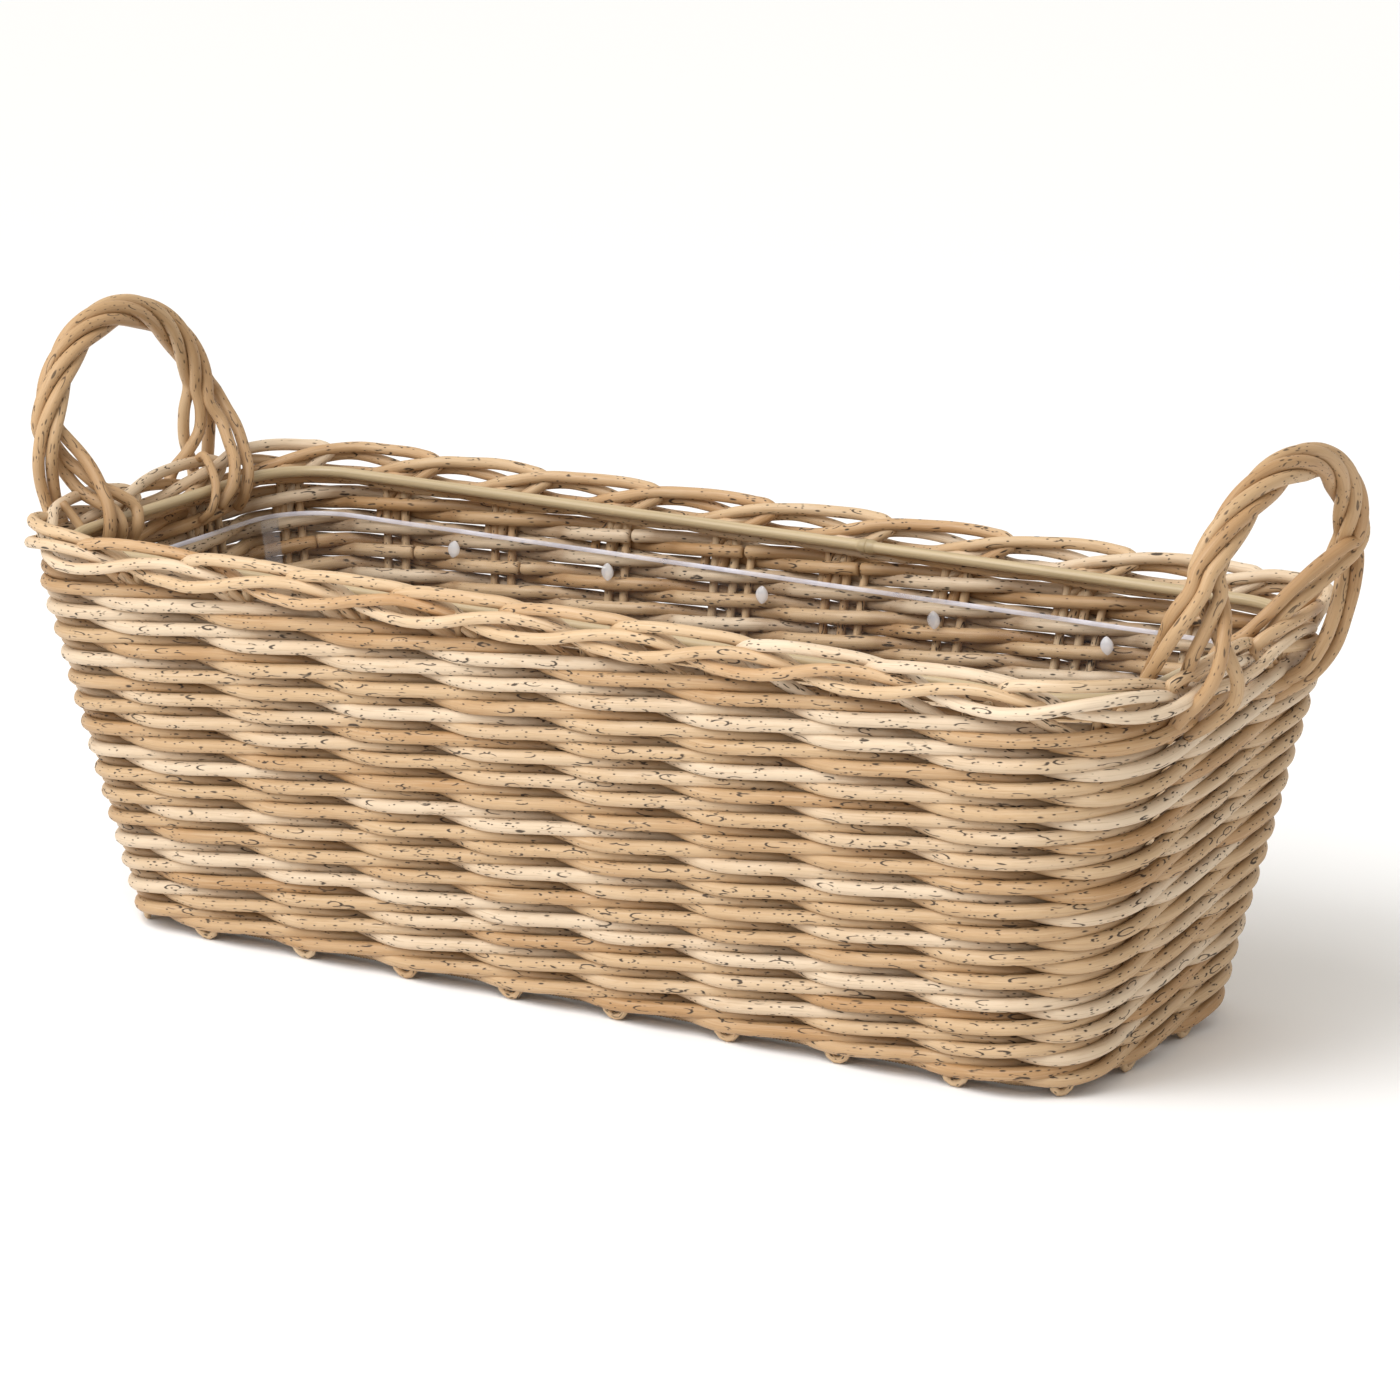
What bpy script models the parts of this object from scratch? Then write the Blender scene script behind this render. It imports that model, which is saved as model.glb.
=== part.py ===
"""Long woven flower basket with two twisted handles and a clear liner.

Metres, +Z up. The origin is the middle of the footprint, on the ground.
+X runs along the length, from one handle to the other. The wall is three
layers of rods round a flared, round-cornered outline: outer weaving rods,
upright stakes and inner weaving rods. A size named inset is measured inwards
from the outside of the weave, and a share is a share of the way round, from
the middle of the front towards +X.
"""

import math

import bmesh
import bpy
from mathutils import Vector

# Outline of the wall, measured over the weave.
BASE_LENGTH = 0.463
BASE_WIDTH = 0.156
BASE_CORNER_RADIUS = 0.037
RIM_LENGTH = 0.5435
RIM_WIDTH = 0.217
RIM_CORNER_RADIUS = 0.052
RIM_LEVEL = 0.175            # height at which the rim sizes hold
CORNER_CHORDS = 3            # straight runs that make one corner

# Rods.
STRAND_DIAMETER = 0.0047     # weaving rods of the wall
STAKE_DIAMETER = 0.0040
BORDER_DIAMETER = 0.0056
HOOP_DIAMETER = 0.0048
BASE_RING_DIAMETER = 0.0056
HANDLE_STRAND_DIAMETER = 0.0052
RUNNER_DIAMETER = 0.0036

ROD_SIDES = 6                # an even number

# Clearances.
FIT_GAP = 0.0003             # between pieces that rest on each other
LAYER_GAP = 0.0007           # between the layers of the leaning wall
WELD_DISTANCE = 0.00001      # corners nearer than this become one

# Wall.
COURSE_COUNT = 15
FIRST_ROW_HEIGHT = 0.0074    # middle of the lowest outer rod
STAKE_COUNT = 24
STAKE_LEG_SPACING = 0.0080   # between the two legs of one hairpin
FOOT_FLAT_DEPTH = 0.0004     # worn off each loop where it stands
CLIMB_LENGTH = 0.0240        # along the wall, where a rod climbs to its next lap
CROSSING_LENGTH = 0.0200     # along the wall, where a rod passes inside
END_SETBACK = 0.0030         # cut end of a rod beyond the climb
SEAM_SPACES = (11, 12, 13)   # spaces between stakes where the rods start

# Border and hoop.
BORDER_CREST_RISE = 0.0180   # middle of the crest rod above the weave
BORDER_INNER_RISE = 0.0065   # middle of the inner rod above the weave
BORDER_ROW_GAP = 0.0006      # between the two outer rods, one above the other
HOOP_RISE = 0.0104           # middle of the hoop above the weave

# Handles.
HANDLE_STRANDS = 5
HANDLE_RISE = 0.0783         # top of the handle above the border's crest
HANDLE_HALF_WIDTHS = {"left": 0.0535, "right": 0.0605}   # middle of the rope at its widest
HANDLE_OUTSET = 0.0080       # rope outside the stakes, level with the top of the crest
HANDLE_LEAN_SHARE = 0.10     # further out for each unit higher
HANDLE_ARCH_RISE = 0.053     # middle of the rope, top above widest level
HANDLE_RETURN = math.radians(10.0)   # how far the legs turn in below that
HANDLE_TWIST_GAP = 0.0016    # between neighbouring strands of the rope
HANDLE_TWIST_STEPS = 12      # strand places turned through, foot to foot
HANDLE_STATIONS = 28         # points along the twisted stretch
FOOT_SHOULDER_RISE = 0.0030  # splayed strands clear the crest by this
FOOT_OUTER_LENGTH = 0.0185   # outer strands below the crest rod
FOOT_INNER_LENGTH = 0.0165   # inner strands below the crest rod
FOOT_OUTER_SPREAD = 0.0060   # outer strands either side of the foot's middle
FOOT_INNER_SPREAD = -0.0010  # first inner strand, likewise
FOOT_INNER_STEP = 0.0092     # from one inner strand to the next

# Floor.
PANEL_THICKNESS = 0.0046
FLOOR_ROD_PITCH = 0.0048     # from one crosswise rod of the panel to the next
FLOOR_RIB_DEPTH = 0.0017     # of the valley between two rods
RIB_TOP_SHARES = (0.28, 0.72)  # of the pitch, where the top of a rod starts and ends
RUNNER_PLACE_SHARE = 0.55    # of the half width inside the base ring
BASE_RING_HEIGHT = 0.0044    # middle of the ring

# Liner.
LINER_WALL = 0.0006
LINER_DROP = 0.0073          # liner's edge below the top of the weave
LINER_BOTTOM_RADIUS = 0.0060
LINER_BOTTOM_CHORDS = 2

# Colours, roughness and metallic value of each material.
FINISHES = {
    "cane": ((0.73, 0.55, 0.34, 1.0), 0.55, 0.0),
    "cane_pale": ((0.77, 0.62, 0.42, 1.0), 0.55, 0.0),
    "cane_stake": ((0.60, 0.45, 0.28, 1.0), 0.60, 0.0),
    "cane_handle": ((0.66, 0.42, 0.22, 1.0), 0.50, 0.0),
    "hoop_rod": ((0.56, 0.49, 0.32, 1.0), 0.40, 0.0),
    "clear_film": ((0.92, 0.93, 0.95, 0.3), 0.12, 0.0),
}

# Levels and insets that follow from the sizes above.
ROW_PITCH = STRAND_DIAMETER + FIT_GAP
COURSE_PITCH = 2 * ROW_PITCH
OUTER_INSET = STRAND_DIAMETER / 2
STAKE_INSET = STRAND_DIAMETER + LAYER_GAP + STAKE_DIAMETER / 2
STAKE_CLEARANCE = STAKE_DIAMETER / 2 + LAYER_GAP
INNER_INSET = STAKE_INSET + STAKE_CLEARANCE + STRAND_DIAMETER / 2
BORDER_OUTER_INSET = STAKE_INSET - STAKE_CLEARANCE - BORDER_DIAMETER / 2
BORDER_INNER_INSET = STAKE_INSET + STAKE_CLEARANCE + BORDER_DIAMETER / 2
HOOP_INSET = BORDER_INNER_INSET + (BORDER_DIAMETER + HOOP_DIAMETER) / 2 + FIT_GAP
BASE_RING_INSET = STAKE_INSET + STAKE_CLEARANCE + BASE_RING_DIAMETER / 2
FLOOR_INSET = BASE_RING_INSET + BASE_RING_DIAMETER / 2 + FIT_GAP
LINER_INSET = INNER_INSET + STRAND_DIAMETER / 2 + LAYER_GAP

FIRST_COURSE_HEIGHT = FIRST_ROW_HEIGHT + ROW_PITCH / 2
LAST_COURSE_HEIGHT = FIRST_COURSE_HEIGHT + (COURSE_COUNT - 1) * COURSE_PITCH
WEAVE_TOP = LAST_COURSE_HEIGHT + ROW_PITCH / 2 + STRAND_DIAMETER / 2
CREST_HEIGHT = WEAVE_TOP + BORDER_CREST_RISE
CREST_TOP = CREST_HEIGHT + BORDER_DIAMETER / 2
STAKE_TOP = CREST_HEIGHT - BORDER_DIAMETER / 2 - LAYER_GAP
PANEL_BOTTOM = BASE_RING_HEIGHT + RUNNER_DIAMETER / 2 + FIT_GAP
LINER_FLOOR = PANEL_BOTTOM + PANEL_THICKNESS + FIT_GAP
LINER_TOP = WEAVE_TOP - LINER_DROP

HANDLE_ROPE_RADIUS = (HANDLE_STRAND_DIAMETER + HANDLE_TWIST_GAP) / 2 / math.sin(math.pi / HANDLE_STRANDS)
HANDLE_TOP = CREST_TOP + HANDLE_RISE
HANDLE_WIDEST_LEVEL = (HANDLE_TOP - HANDLE_ROPE_RADIUS - HANDLE_STRAND_DIAMETER / 2
                       - HANDLE_ARCH_RISE)
FOOT_OUTER_INSET = BORDER_OUTER_INSET - (BORDER_DIAMETER + HANDLE_STRAND_DIAMETER) / 2 - LAYER_GAP
FOOT_INNER_INSET = HOOP_INSET + (HOOP_DIAMETER + HANDLE_STRAND_DIAMETER) / 2 + LAYER_GAP


def clear_scene():
    """Remove every object that the new file starts with."""
    for item in list(bpy.data.objects):
        bpy.data.objects.remove(item, do_unlink=True)


def make_materials():
    """One Principled material for each named finish."""
    made = {}
    for name, (colour, roughness, metallic) in FINISHES.items():
        material = bpy.data.materials.new(name)
        material.use_nodes = True
        shader = material.node_tree.nodes["Principled BSDF"]
        shader.inputs["Base Color"].default_value = colour
        shader.inputs["Roughness"].default_value = roughness
        shader.inputs["Metallic"].default_value = metallic
        shader.inputs["Alpha"].default_value = colour[3]
        material.diffuse_color = colour
        made[name] = material
    return made


def link_piece(name, data, material):
    """Put a new object, with one material, in the basket's collection."""
    data.materials.append(material)
    piece = bpy.data.objects.new(name, data)
    BASKET.objects.link(piece)
    return piece


def add_rod(name, path, diameter, material, cyclic=False, twist_mode="MINIMUM"):
    """A round rod along a path of centre points."""
    curve = bpy.data.curves.new(name, "CURVE")
    curve.dimensions = "3D"
    curve.twist_mode = twist_mode
    curve.bevel_depth = diameter / 2
    curve.bevel_resolution = ROD_SIDES // 2 - 2
    curve.use_fill_caps = True
    spline = curve.splines.new("POLY")
    spline.points.add(len(path) - 1)
    for point, place in zip(spline.points, path):
        point.co = (*place, 1.0)
    spline.use_cyclic_u = cyclic
    spline.use_smooth = True
    return link_piece(name, curve, material)


def add_ring(name, height, inset, diameter, material):
    """A rod that closes on itself round the wall."""
    return add_rod(name, wall_ring(height, inset), diameter, material, cyclic=True,
                   twist_mode="Z_UP")


def outline_at(height):
    """Half length, half width and corner radius of the weave at a height."""
    share = height / RIM_LEVEL
    half_length = (BASE_LENGTH + (RIM_LENGTH - BASE_LENGTH) * share) / 2
    half_width = (BASE_WIDTH + (RIM_WIDTH - BASE_WIDTH) * share) / 2
    radius = BASE_CORNER_RADIUS + (RIM_CORNER_RADIUS - BASE_CORNER_RADIUS) * share
    return half_length, half_width, radius


def wall_ring(height, inset):
    """Corner points of the wall's outline, starting at the front's right end.

    The front is at -Y, and the points run anticlockwise seen from above.
    """
    half_length, half_width, radius = outline_at(height)
    points = []
    for quarter, (sign_x, sign_y) in enumerate(((1, -1), (1, 1), (-1, 1), (-1, -1))):
        centre_x = sign_x * (half_length - radius)
        centre_y = sign_y * (half_width - radius)
        for chord in range(CORNER_CHORDS + 1):
            angle = (quarter - 1 + chord / CORNER_CHORDS) * math.pi / 2
            reach = radius - inset
            points.append(Vector((centre_x + reach * math.cos(angle),
                                  centre_y + reach * math.sin(angle),
                                  height)))
    return points


def edge_place(share):
    """Where a share of the way round falls: an edge of the ring and how far
    along it. Shares start at the middle of the front and run to the right."""
    ring = wall_ring(RIM_LEVEL / 2, 0)
    lengths = [(ring[(i + 1) % len(ring)] - ring[i]).length for i in range(len(ring))]
    front = len(ring) - 1
    along = lengths[front] / 2 + (share % 1.0) * sum(lengths)
    edge = front
    while along > lengths[edge]:
        along -= lengths[edge]
        edge = (edge + 1) % len(ring)
    return edge, along / lengths[edge]


def wall_point(share, height, inset):
    """A point of the wall, a share of the way round."""
    edge, fraction = edge_place(share)
    ring = wall_ring(height, inset)
    return ring[edge].lerp(ring[(edge + 1) % len(ring)], fraction)


def wall_reach(across, height, inset):
    """How far out along X a level ring of the wall lies, at a place across it."""
    ring = wall_ring(height, inset)
    right_side = ring[:len(ring) // 2]
    for near, far in zip(right_side, right_side[1:]):
        if across <= far.y:
            break
    return near.lerp(far, (across - near.y) / (far.y - near.y)).x


def wall_half_width(along, height, inset):
    """Half the width of a level ring of the wall, at a place along it."""
    corner = wall_ring(height, inset)[:CORNER_CHORDS + 1]
    if abs(along) <= corner[0].x:
        return abs(corner[0].y)
    for near, far in zip(corner, corner[1:]):
        if abs(along) <= far.x:
            break
    return abs(near.lerp(far, (abs(along) - near.x) / (far.x - near.x)).y)


def outline_length():
    """Length of the way round, halfway up."""
    ring = wall_ring(RIM_LEVEL / 2, 0)
    return sum((ring[(i + 1) % len(ring)] - ring[i]).length for i in range(len(ring)))


def along_wall(start, end, height, inset):
    """Points of the wall from one share to another, with each corner point between."""
    ring = wall_ring(RIM_LEVEL / 2, 0)
    total = outline_length()
    corners = wall_ring(height, inset)
    points = [wall_point(start, height, inset)]
    for lap in range(math.floor(start), math.ceil(end)):
        share = lap + (ring[0] - ring[-1]).length / 2 / total
        for index, corner in enumerate(corners):
            if start < share < end:
                points.append(corner)
            share += (ring[(index + 1) % len(ring)] - ring[index]).length / total
    points.append(wall_point(end, height, inset))
    return points


def stand_flat(rod):
    """Turn a rod into a mesh and cut it off level with the ground."""
    evaluated = rod.evaluated_get(bpy.context.evaluated_depsgraph_get())
    data = bpy.data.meshes.new_from_object(evaluated)
    name, place = rod.name, rod.matrix_world.copy()
    bpy.data.objects.remove(rod)
    mesh = bmesh.new()
    mesh.from_mesh(data)
    bmesh.ops.remove_doubles(mesh, verts=mesh.verts, dist=WELD_DISTANCE)
    cut = bmesh.ops.bisect_plane(mesh, geom=mesh.verts[:] + mesh.edges[:] + mesh.faces[:],
                                 plane_co=(0, 0, 0), plane_no=(0, 0, 1), clear_inner=True)
    rim = [item for item in cut["geom_cut"] if isinstance(item, bmesh.types.BMEdge)]
    bmesh.ops.contextual_create(mesh, geom=rim)
    bmesh.ops.recalc_face_normals(mesh, faces=mesh.faces)
    mesh.to_mesh(data)
    mesh.free()
    piece = bpy.data.objects.new(name, data)
    piece.matrix_world = place
    BASKET.objects.link(piece)


def add_stakes(material):
    """Hairpins: two legs up the wall, and a loop that stands on the ground."""
    half_share = STAKE_LEG_SPACING / 2 / outline_length()
    bend = STAKE_LEG_SPACING / 2
    foot = STAKE_DIAMETER / 2 * math.cos(math.pi / ROD_SIDES) - FOOT_FLAT_DEPTH
    flat = bend * math.tan(math.pi / 8)
    for index in range(STAKE_COUNT):
        share = (index + 0.5) / STAKE_COUNT
        low_left = wall_point(share - half_share, foot, STAKE_INSET)
        low_right = wall_point(share + half_share, foot, STAKE_INSET)
        middle = (low_left + low_right) / 2
        along = (low_right - low_left).normalized()
        left = [wall_point(share - half_share, level, STAKE_INSET)
                for level in (STAKE_TOP, foot + bend - flat)]
        right = [wall_point(share + half_share, level, STAKE_INSET)
                 for level in (foot + bend - flat, STAKE_TOP)]
        loop = [middle - along * flat, middle + along * flat]
        stand_flat(add_rod(f"stake_{index + 1:02d}", left + loop + right, STAKE_DIAMETER, material))


def course_path(index):
    """One course: a rod that goes round twice outside the stakes, one lap above
    the other, then passes between two stakes and goes round once inside."""
    middle = FIRST_COURSE_HEIGHT + index * COURSE_PITCH
    low = middle - ROW_PITCH / 2
    high = middle + ROW_PITCH / 2
    length = outline_length()
    seam = SEAM_SPACES[index % len(SEAM_SPACES)] / STAKE_COUNT
    crossing = seam - 1 / STAKE_COUNT
    half_crossing = CROSSING_LENGTH / 2 / length
    first = along_wall(seam + END_SETBACK / length, seam + 1 - CLIMB_LENGTH / length, low, OUTER_INSET)
    second = along_wall(seam + 1, crossing + 2 - half_crossing, high, OUTER_INSET)
    inner = along_wall(crossing + half_crossing, crossing + 1 - half_crossing, middle, INNER_INSET)
    return first + second + inner


def add_courses(material):
    """The courses of the weave, from the ground up."""
    for index in range(COURSE_COUNT):
        add_rod(f"wale_course_{index + 1:02d}", course_path(index), STRAND_DIAMETER, material,
                twist_mode="Z_UP")


def add_border(material):
    """The rolled border: the bent-down stake ends, as four rods round the rim."""
    low = WEAVE_TOP + BORDER_DIAMETER / 2 + FIT_GAP
    high = low + BORDER_DIAMETER + BORDER_ROW_GAP
    rods = {
        "border_outer_low": (low, BORDER_OUTER_INSET),
        "border_outer_high": (high, BORDER_OUTER_INSET),
        "border_crest": (CREST_HEIGHT, STAKE_INSET),
        "border_inner": (WEAVE_TOP + BORDER_INNER_RISE, BORDER_INNER_INSET),
    }
    for name, (height, inset) in rods.items():
        add_ring(name, height, inset, BORDER_DIAMETER, material)


def add_hoop(material):
    """The smooth stiffening hoop inside the border."""
    add_ring("rim_hoop", WEAVE_TOP + HOOP_RISE, HOOP_INSET, HOOP_DIAMETER, material)


def handle_plane(height):
    """How far out the middle of a handle's rope stands at a height."""
    foot = outline_at(CREST_TOP)[0] - STAKE_INSET + HANDLE_OUTSET
    return foot + HANDLE_LEAN_SHARE * (height - CREST_TOP)


def foot_path(turn, half_width, foot_sign):
    """A strand's points from its cut end up to the start of the twist.

    turn is the strand's place round the rope at the foot, in strand steps:
    the first and last lie outside the wall and the others inside it.
    """
    angle = (turn + 0.5) * 2 * math.pi / HANDLE_STRANDS
    if turn in (0, HANDLE_STRANDS - 1):
        inset = FOOT_OUTER_INSET
        length = FOOT_OUTER_LENGTH
        spread = math.copysign(FOOT_OUTER_SPREAD, math.sin(angle))
    else:
        inset = FOOT_INNER_INSET
        length = FOOT_INNER_LENGTH
        spread = FOOT_INNER_SPREAD - (turn - 1) * FOOT_INNER_STEP
    across = foot_sign * (half_width + spread)
    points = []
    for level in (CREST_HEIGHT - length, CREST_HEIGHT):
        points.append(Vector((wall_reach(across, level, inset), across, level)))
    shoulder = CREST_TOP + FOOT_SHOULDER_RISE
    blend = Vector((handle_plane(shoulder) + HANDLE_ROPE_RADIUS * math.cos(angle),
                    foot_sign * (half_width + HANDLE_ROPE_RADIUS * math.sin(angle)),
                    shoulder))
    outer = Vector((wall_reach(across, shoulder, inset), across, shoulder))
    points.append((blend + outer) / 2)
    return points


def handle_strand(index, half_width):
    """Centre points of one strand of a handle at +X, foot to foot."""
    angle_step = 2 * math.pi / HANDLE_STRANDS
    start = (index + 0.5) * angle_step
    twisted = []
    for station in range(HANDLE_STATIONS):
        share = station / (HANDLE_STATIONS - 1)
        arch = -HANDLE_RETURN + share * (math.pi + 2 * HANDLE_RETURN)
        middle_y = -half_width * math.cos(arch)
        height = HANDLE_WIDEST_LEVEL + HANDLE_ARCH_RISE * math.sin(arch)
        away = Vector((0.0, -math.cos(arch) * HANDLE_ARCH_RISE, math.sin(arch) * half_width))
        away.normalize()
        angle = start - share * HANDLE_TWIST_STEPS * angle_step
        middle = Vector((handle_plane(height), middle_y, height))
        twisted.append(middle + HANDLE_ROPE_RADIUS * (Vector((math.cos(angle), 0.0, 0.0))
                                                      + math.sin(angle) * away))
    far_turn = (index - HANDLE_TWIST_STEPS) % HANDLE_STRANDS
    near = foot_path(index, half_width, -1)
    far = foot_path(far_turn, half_width, 1)
    return near + twisted + far[::-1]


def add_handles(material):
    """Two handles, each a rope of strands; the left one is turned half round."""
    for side, sign in (("right", 1), ("left", -1)):
        for index in range(HANDLE_STRANDS):
            strand = handle_strand(index, HANDLE_HALF_WIDTHS[side])
            path = [Vector((sign * p.x, sign * p.y, p.z)) for p in strand]
            add_rod(f"handle_{side}_strand_{index + 1}", path, HANDLE_STRAND_DIAMETER, material)


def add_base_ring(material):
    """The bound ring that the hairpins' loops hang under."""
    add_ring("base_ring", BASE_RING_HEIGHT, BASE_RING_INSET, BASE_RING_DIAMETER, material)


def add_runners(material):
    """Three runners inside the base ring, along the length, under the floor."""
    side = RUNNER_PLACE_SHARE * (outline_at(BASE_RING_HEIGHT)[1] - FLOOR_INSET)
    for name, y in (("front", -side), ("middle", 0.0), ("back", side)):
        reach = wall_reach(abs(y) + RUNNER_DIAMETER / 2, BASE_RING_HEIGHT, FLOOR_INSET)
        ends = [Vector((-reach, y, BASE_RING_HEIGHT)), Vector((reach, y, BASE_RING_HEIGHT))]
        add_rod(f"floor_runner_{name}", ends, RUNNER_DIAMETER, material)


def floor_profile():
    """Places along the floor panel with half its thickness there: a valley
    between each two crosswise rods, and the flat top of each rod."""
    half_length = wall_reach(0.0, PANEL_BOTTOM, FLOOR_INSET)
    count = max(round(2 * half_length / FLOOR_ROD_PITCH), 1)
    pitch = 2 * half_length / count
    crest = PANEL_THICKNESS / 2
    profile = []
    for index in range(count):
        start = index * pitch - half_length
        profile.append((start, crest - FLOOR_RIB_DEPTH))
        profile += [(start + share * pitch, crest) for share in RIB_TOP_SHARES]
    profile.append((half_length, crest - FLOOR_RIB_DEPTH))
    return profile


def add_floor_panel(material):
    """The floor: crosswise rods side by side, drawn as one ribbed panel."""
    mesh = bmesh.new()
    middle = PANEL_BOTTOM + PANEL_THICKNESS / 2
    sections = []
    for along, half_height in floor_profile():
        across = wall_half_width(along, PANEL_BOTTOM, FLOOR_INSET)
        corners = ((-across, -half_height), (across, -half_height),
                   (across, half_height), (-across, half_height))
        verts = [mesh.verts.new((along, y, middle + z)) for y, z in corners]
        sections.append([mesh.edges.new((verts[i - 1], verts[i])) for i in range(len(verts))])
    for near, far in zip(sections, sections[1:]):
        bmesh.ops.bridge_loops(mesh, edges=near + far)
    for end in (sections[0], sections[-1]):
        bmesh.ops.contextual_create(mesh, geom=end)
    bmesh.ops.recalc_face_normals(mesh, faces=mesh.faces)
    data = bpy.data.meshes.new("floor_panel")
    mesh.to_mesh(data)
    mesh.free()
    link_piece("floor_panel", data, material)


def add_liner(material):
    """The clear liner: an open tub against the inner rods, with a rounded bottom."""
    mesh = bmesh.new()
    levels = []
    for chord in range(LINER_BOTTOM_CHORDS + 1):
        angle = chord / LINER_BOTTOM_CHORDS * math.pi / 2
        levels.append((LINER_FLOOR + LINER_BOTTOM_RADIUS * (1 - math.cos(angle)),
                       LINER_INSET + LINER_BOTTOM_RADIUS * (1 - math.sin(angle))))
    levels.append((LINER_TOP, LINER_INSET))
    rings = []
    for height, inset in levels:
        verts = [mesh.verts.new(point) for point in wall_ring(height, inset)]
        rings.append([mesh.edges.new((verts[i - 1], verts[i])) for i in range(len(verts))])
    for low, high in zip(rings, rings[1:]):
        bmesh.ops.bridge_loops(mesh, edges=low + high)
    bmesh.ops.contextual_create(mesh, geom=rings[0])
    bmesh.ops.recalc_face_normals(mesh, faces=mesh.faces)
    data = bpy.data.meshes.new("liner")
    mesh.to_mesh(data)
    mesh.free()
    liner = link_piece("liner", data, material)
    wall = liner.modifiers.new("wall", "SOLIDIFY")
    wall.thickness = LINER_WALL
    wall.offset = -1.0
    wall.use_even_offset = True


clear_scene()
BASKET = bpy.data.collections.new("flower_basket")
bpy.context.scene.collection.children.link(BASKET)
MATERIALS = make_materials()
add_base_ring(MATERIALS["cane_stake"])
add_runners(MATERIALS["cane_stake"])
add_floor_panel(MATERIALS["cane"])
add_stakes(MATERIALS["cane_stake"])
add_courses(MATERIALS["cane_pale"])
add_border(MATERIALS["cane"])
add_hoop(MATERIALS["hoop_rod"])
add_handles(MATERIALS["cane_handle"])
add_liner(MATERIALS["clear_film"])
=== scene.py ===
"""Looks of the long woven flower basket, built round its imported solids.

Metres, +Z up, +X from handle to handle, front at -Y. Every rod of the real
basket is swept along its own path: three weavers to each course of the wall,
twenty-four border rods, paired stakes with their ground loops, two ropes of
five strands for handles, a bound ring under the floor and a clear liner.

A place on the wall is written as (turn, inset, level): turn counts spaces
between stakes round the wall from the middle of the front towards +X, inset
is how far in from the outside of the weave, and level is the height.
"""

import logging
import math
from dataclasses import dataclass, field
from enum import Enum

import bpy
import numpy as np
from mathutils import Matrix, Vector


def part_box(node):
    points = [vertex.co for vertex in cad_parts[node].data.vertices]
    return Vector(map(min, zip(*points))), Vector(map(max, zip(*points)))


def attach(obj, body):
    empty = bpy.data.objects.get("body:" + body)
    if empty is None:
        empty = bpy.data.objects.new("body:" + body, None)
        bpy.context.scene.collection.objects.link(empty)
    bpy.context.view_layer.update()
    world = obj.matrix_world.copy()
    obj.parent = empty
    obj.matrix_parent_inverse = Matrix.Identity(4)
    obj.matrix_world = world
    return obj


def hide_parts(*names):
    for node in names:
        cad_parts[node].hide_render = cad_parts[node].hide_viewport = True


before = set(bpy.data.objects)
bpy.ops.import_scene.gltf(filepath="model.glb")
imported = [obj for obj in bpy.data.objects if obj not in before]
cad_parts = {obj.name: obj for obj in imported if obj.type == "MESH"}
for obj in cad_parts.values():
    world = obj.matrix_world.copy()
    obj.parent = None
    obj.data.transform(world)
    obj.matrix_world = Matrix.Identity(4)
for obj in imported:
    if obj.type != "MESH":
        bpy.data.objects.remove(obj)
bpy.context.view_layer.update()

LOG = logging.getLogger("flower_basket")
ROOT = "root"
MM = 0.001

# A rod starts anywhere within this many metres of the cane's pattern.
LAY_RANGE = 9.0


class Side(Enum):
    """The two ends of the basket, each with the sign of X there."""

    RIGHT = 1
    LEFT = -1


# Curves and rods.


def hermite(t: np.ndarray, start: np.ndarray, leave: np.ndarray, end: np.ndarray,
            arrive: np.ndarray) -> np.ndarray:
    """A cubic between two values with given slopes at both ends.

    Formula: start times 2t^3 - 3t^2 + 1, its slope times t^3 - 2t^2 + t, end
    times 3t^2 - 2t^3, and its slope times t^3 - t^2, added up.

    Args:
        t: how far along, from 0 to 1.
        start: the value at 0.
        leave: the slope at 0.
        end: the value at 1.
        arrive: the slope at 1.

    Returns:
        The value at t.
    """
    return (start * (2 * t**3 - 3 * t**2 + 1) + leave * (t**3 - 2 * t**2 + t)
            + end * (3 * t**2 - 2 * t**3) + arrive * (t**3 - t**2))


def smooth_route(points: np.ndarray, step: float) -> np.ndarray:
    """Even points along a smooth curve through given points.

    Formula: a cubic Hermite run between each pair of points, with each slope
    taken from the two neighbours over the distance between them.

    Args:
        points: the places that the curve passes through, one row each.
        step: the distance between the new points.

    Returns:
        The new points, one row each.
    """
    chord = np.linalg.norm(np.diff(points, axis=0), axis=1)
    knots = np.concatenate(([0.0], np.cumsum(chord)))
    slopes = np.gradient(points, knots, axis=0)
    count = max(int(round(knots[-1] / step)), 2) + 1
    along = np.linspace(0.0, knots[-1], count)
    run = np.clip(np.searchsorted(knots, along, side="right") - 1, 0, len(chord) - 1)
    reach = chord[run][:, None]
    t = ((along - knots[run]) / chord[run])[:, None]
    return hermite(t, points[run], slopes[run] * reach, points[run + 1], slopes[run + 1] * reach)


def smooth_cycle(place: np.ndarray, knots: np.ndarray, values: np.ndarray, period: float) -> np.ndarray:
    """Values of a smooth repeating curve.

    Formula: the knots and values are repeated on both sides of one period,
    and a cubic Hermite curve with neighbour slopes is read at place, taken
    modulo the period.

    Args:
        place: where to read the curve.
        knots: places of the given values, rising, within one period.
        values: the values at the knots.
        period: the length after which the curve repeats.

    Returns:
        The value at each place.
    """
    at = np.concatenate((knots - period, knots, knots + period))
    level = np.tile(values, 3)
    slope = np.gradient(level, at)
    x = np.mod(place, period)
    run = np.clip(np.searchsorted(at, x, side="right") - 1, 0, len(at) - 2)
    width = at[run + 1] - at[run]
    t = (x - at[run]) / width
    return hermite(t, level[run], slope[run] * width, level[run + 1], slope[run + 1] * width)


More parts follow.
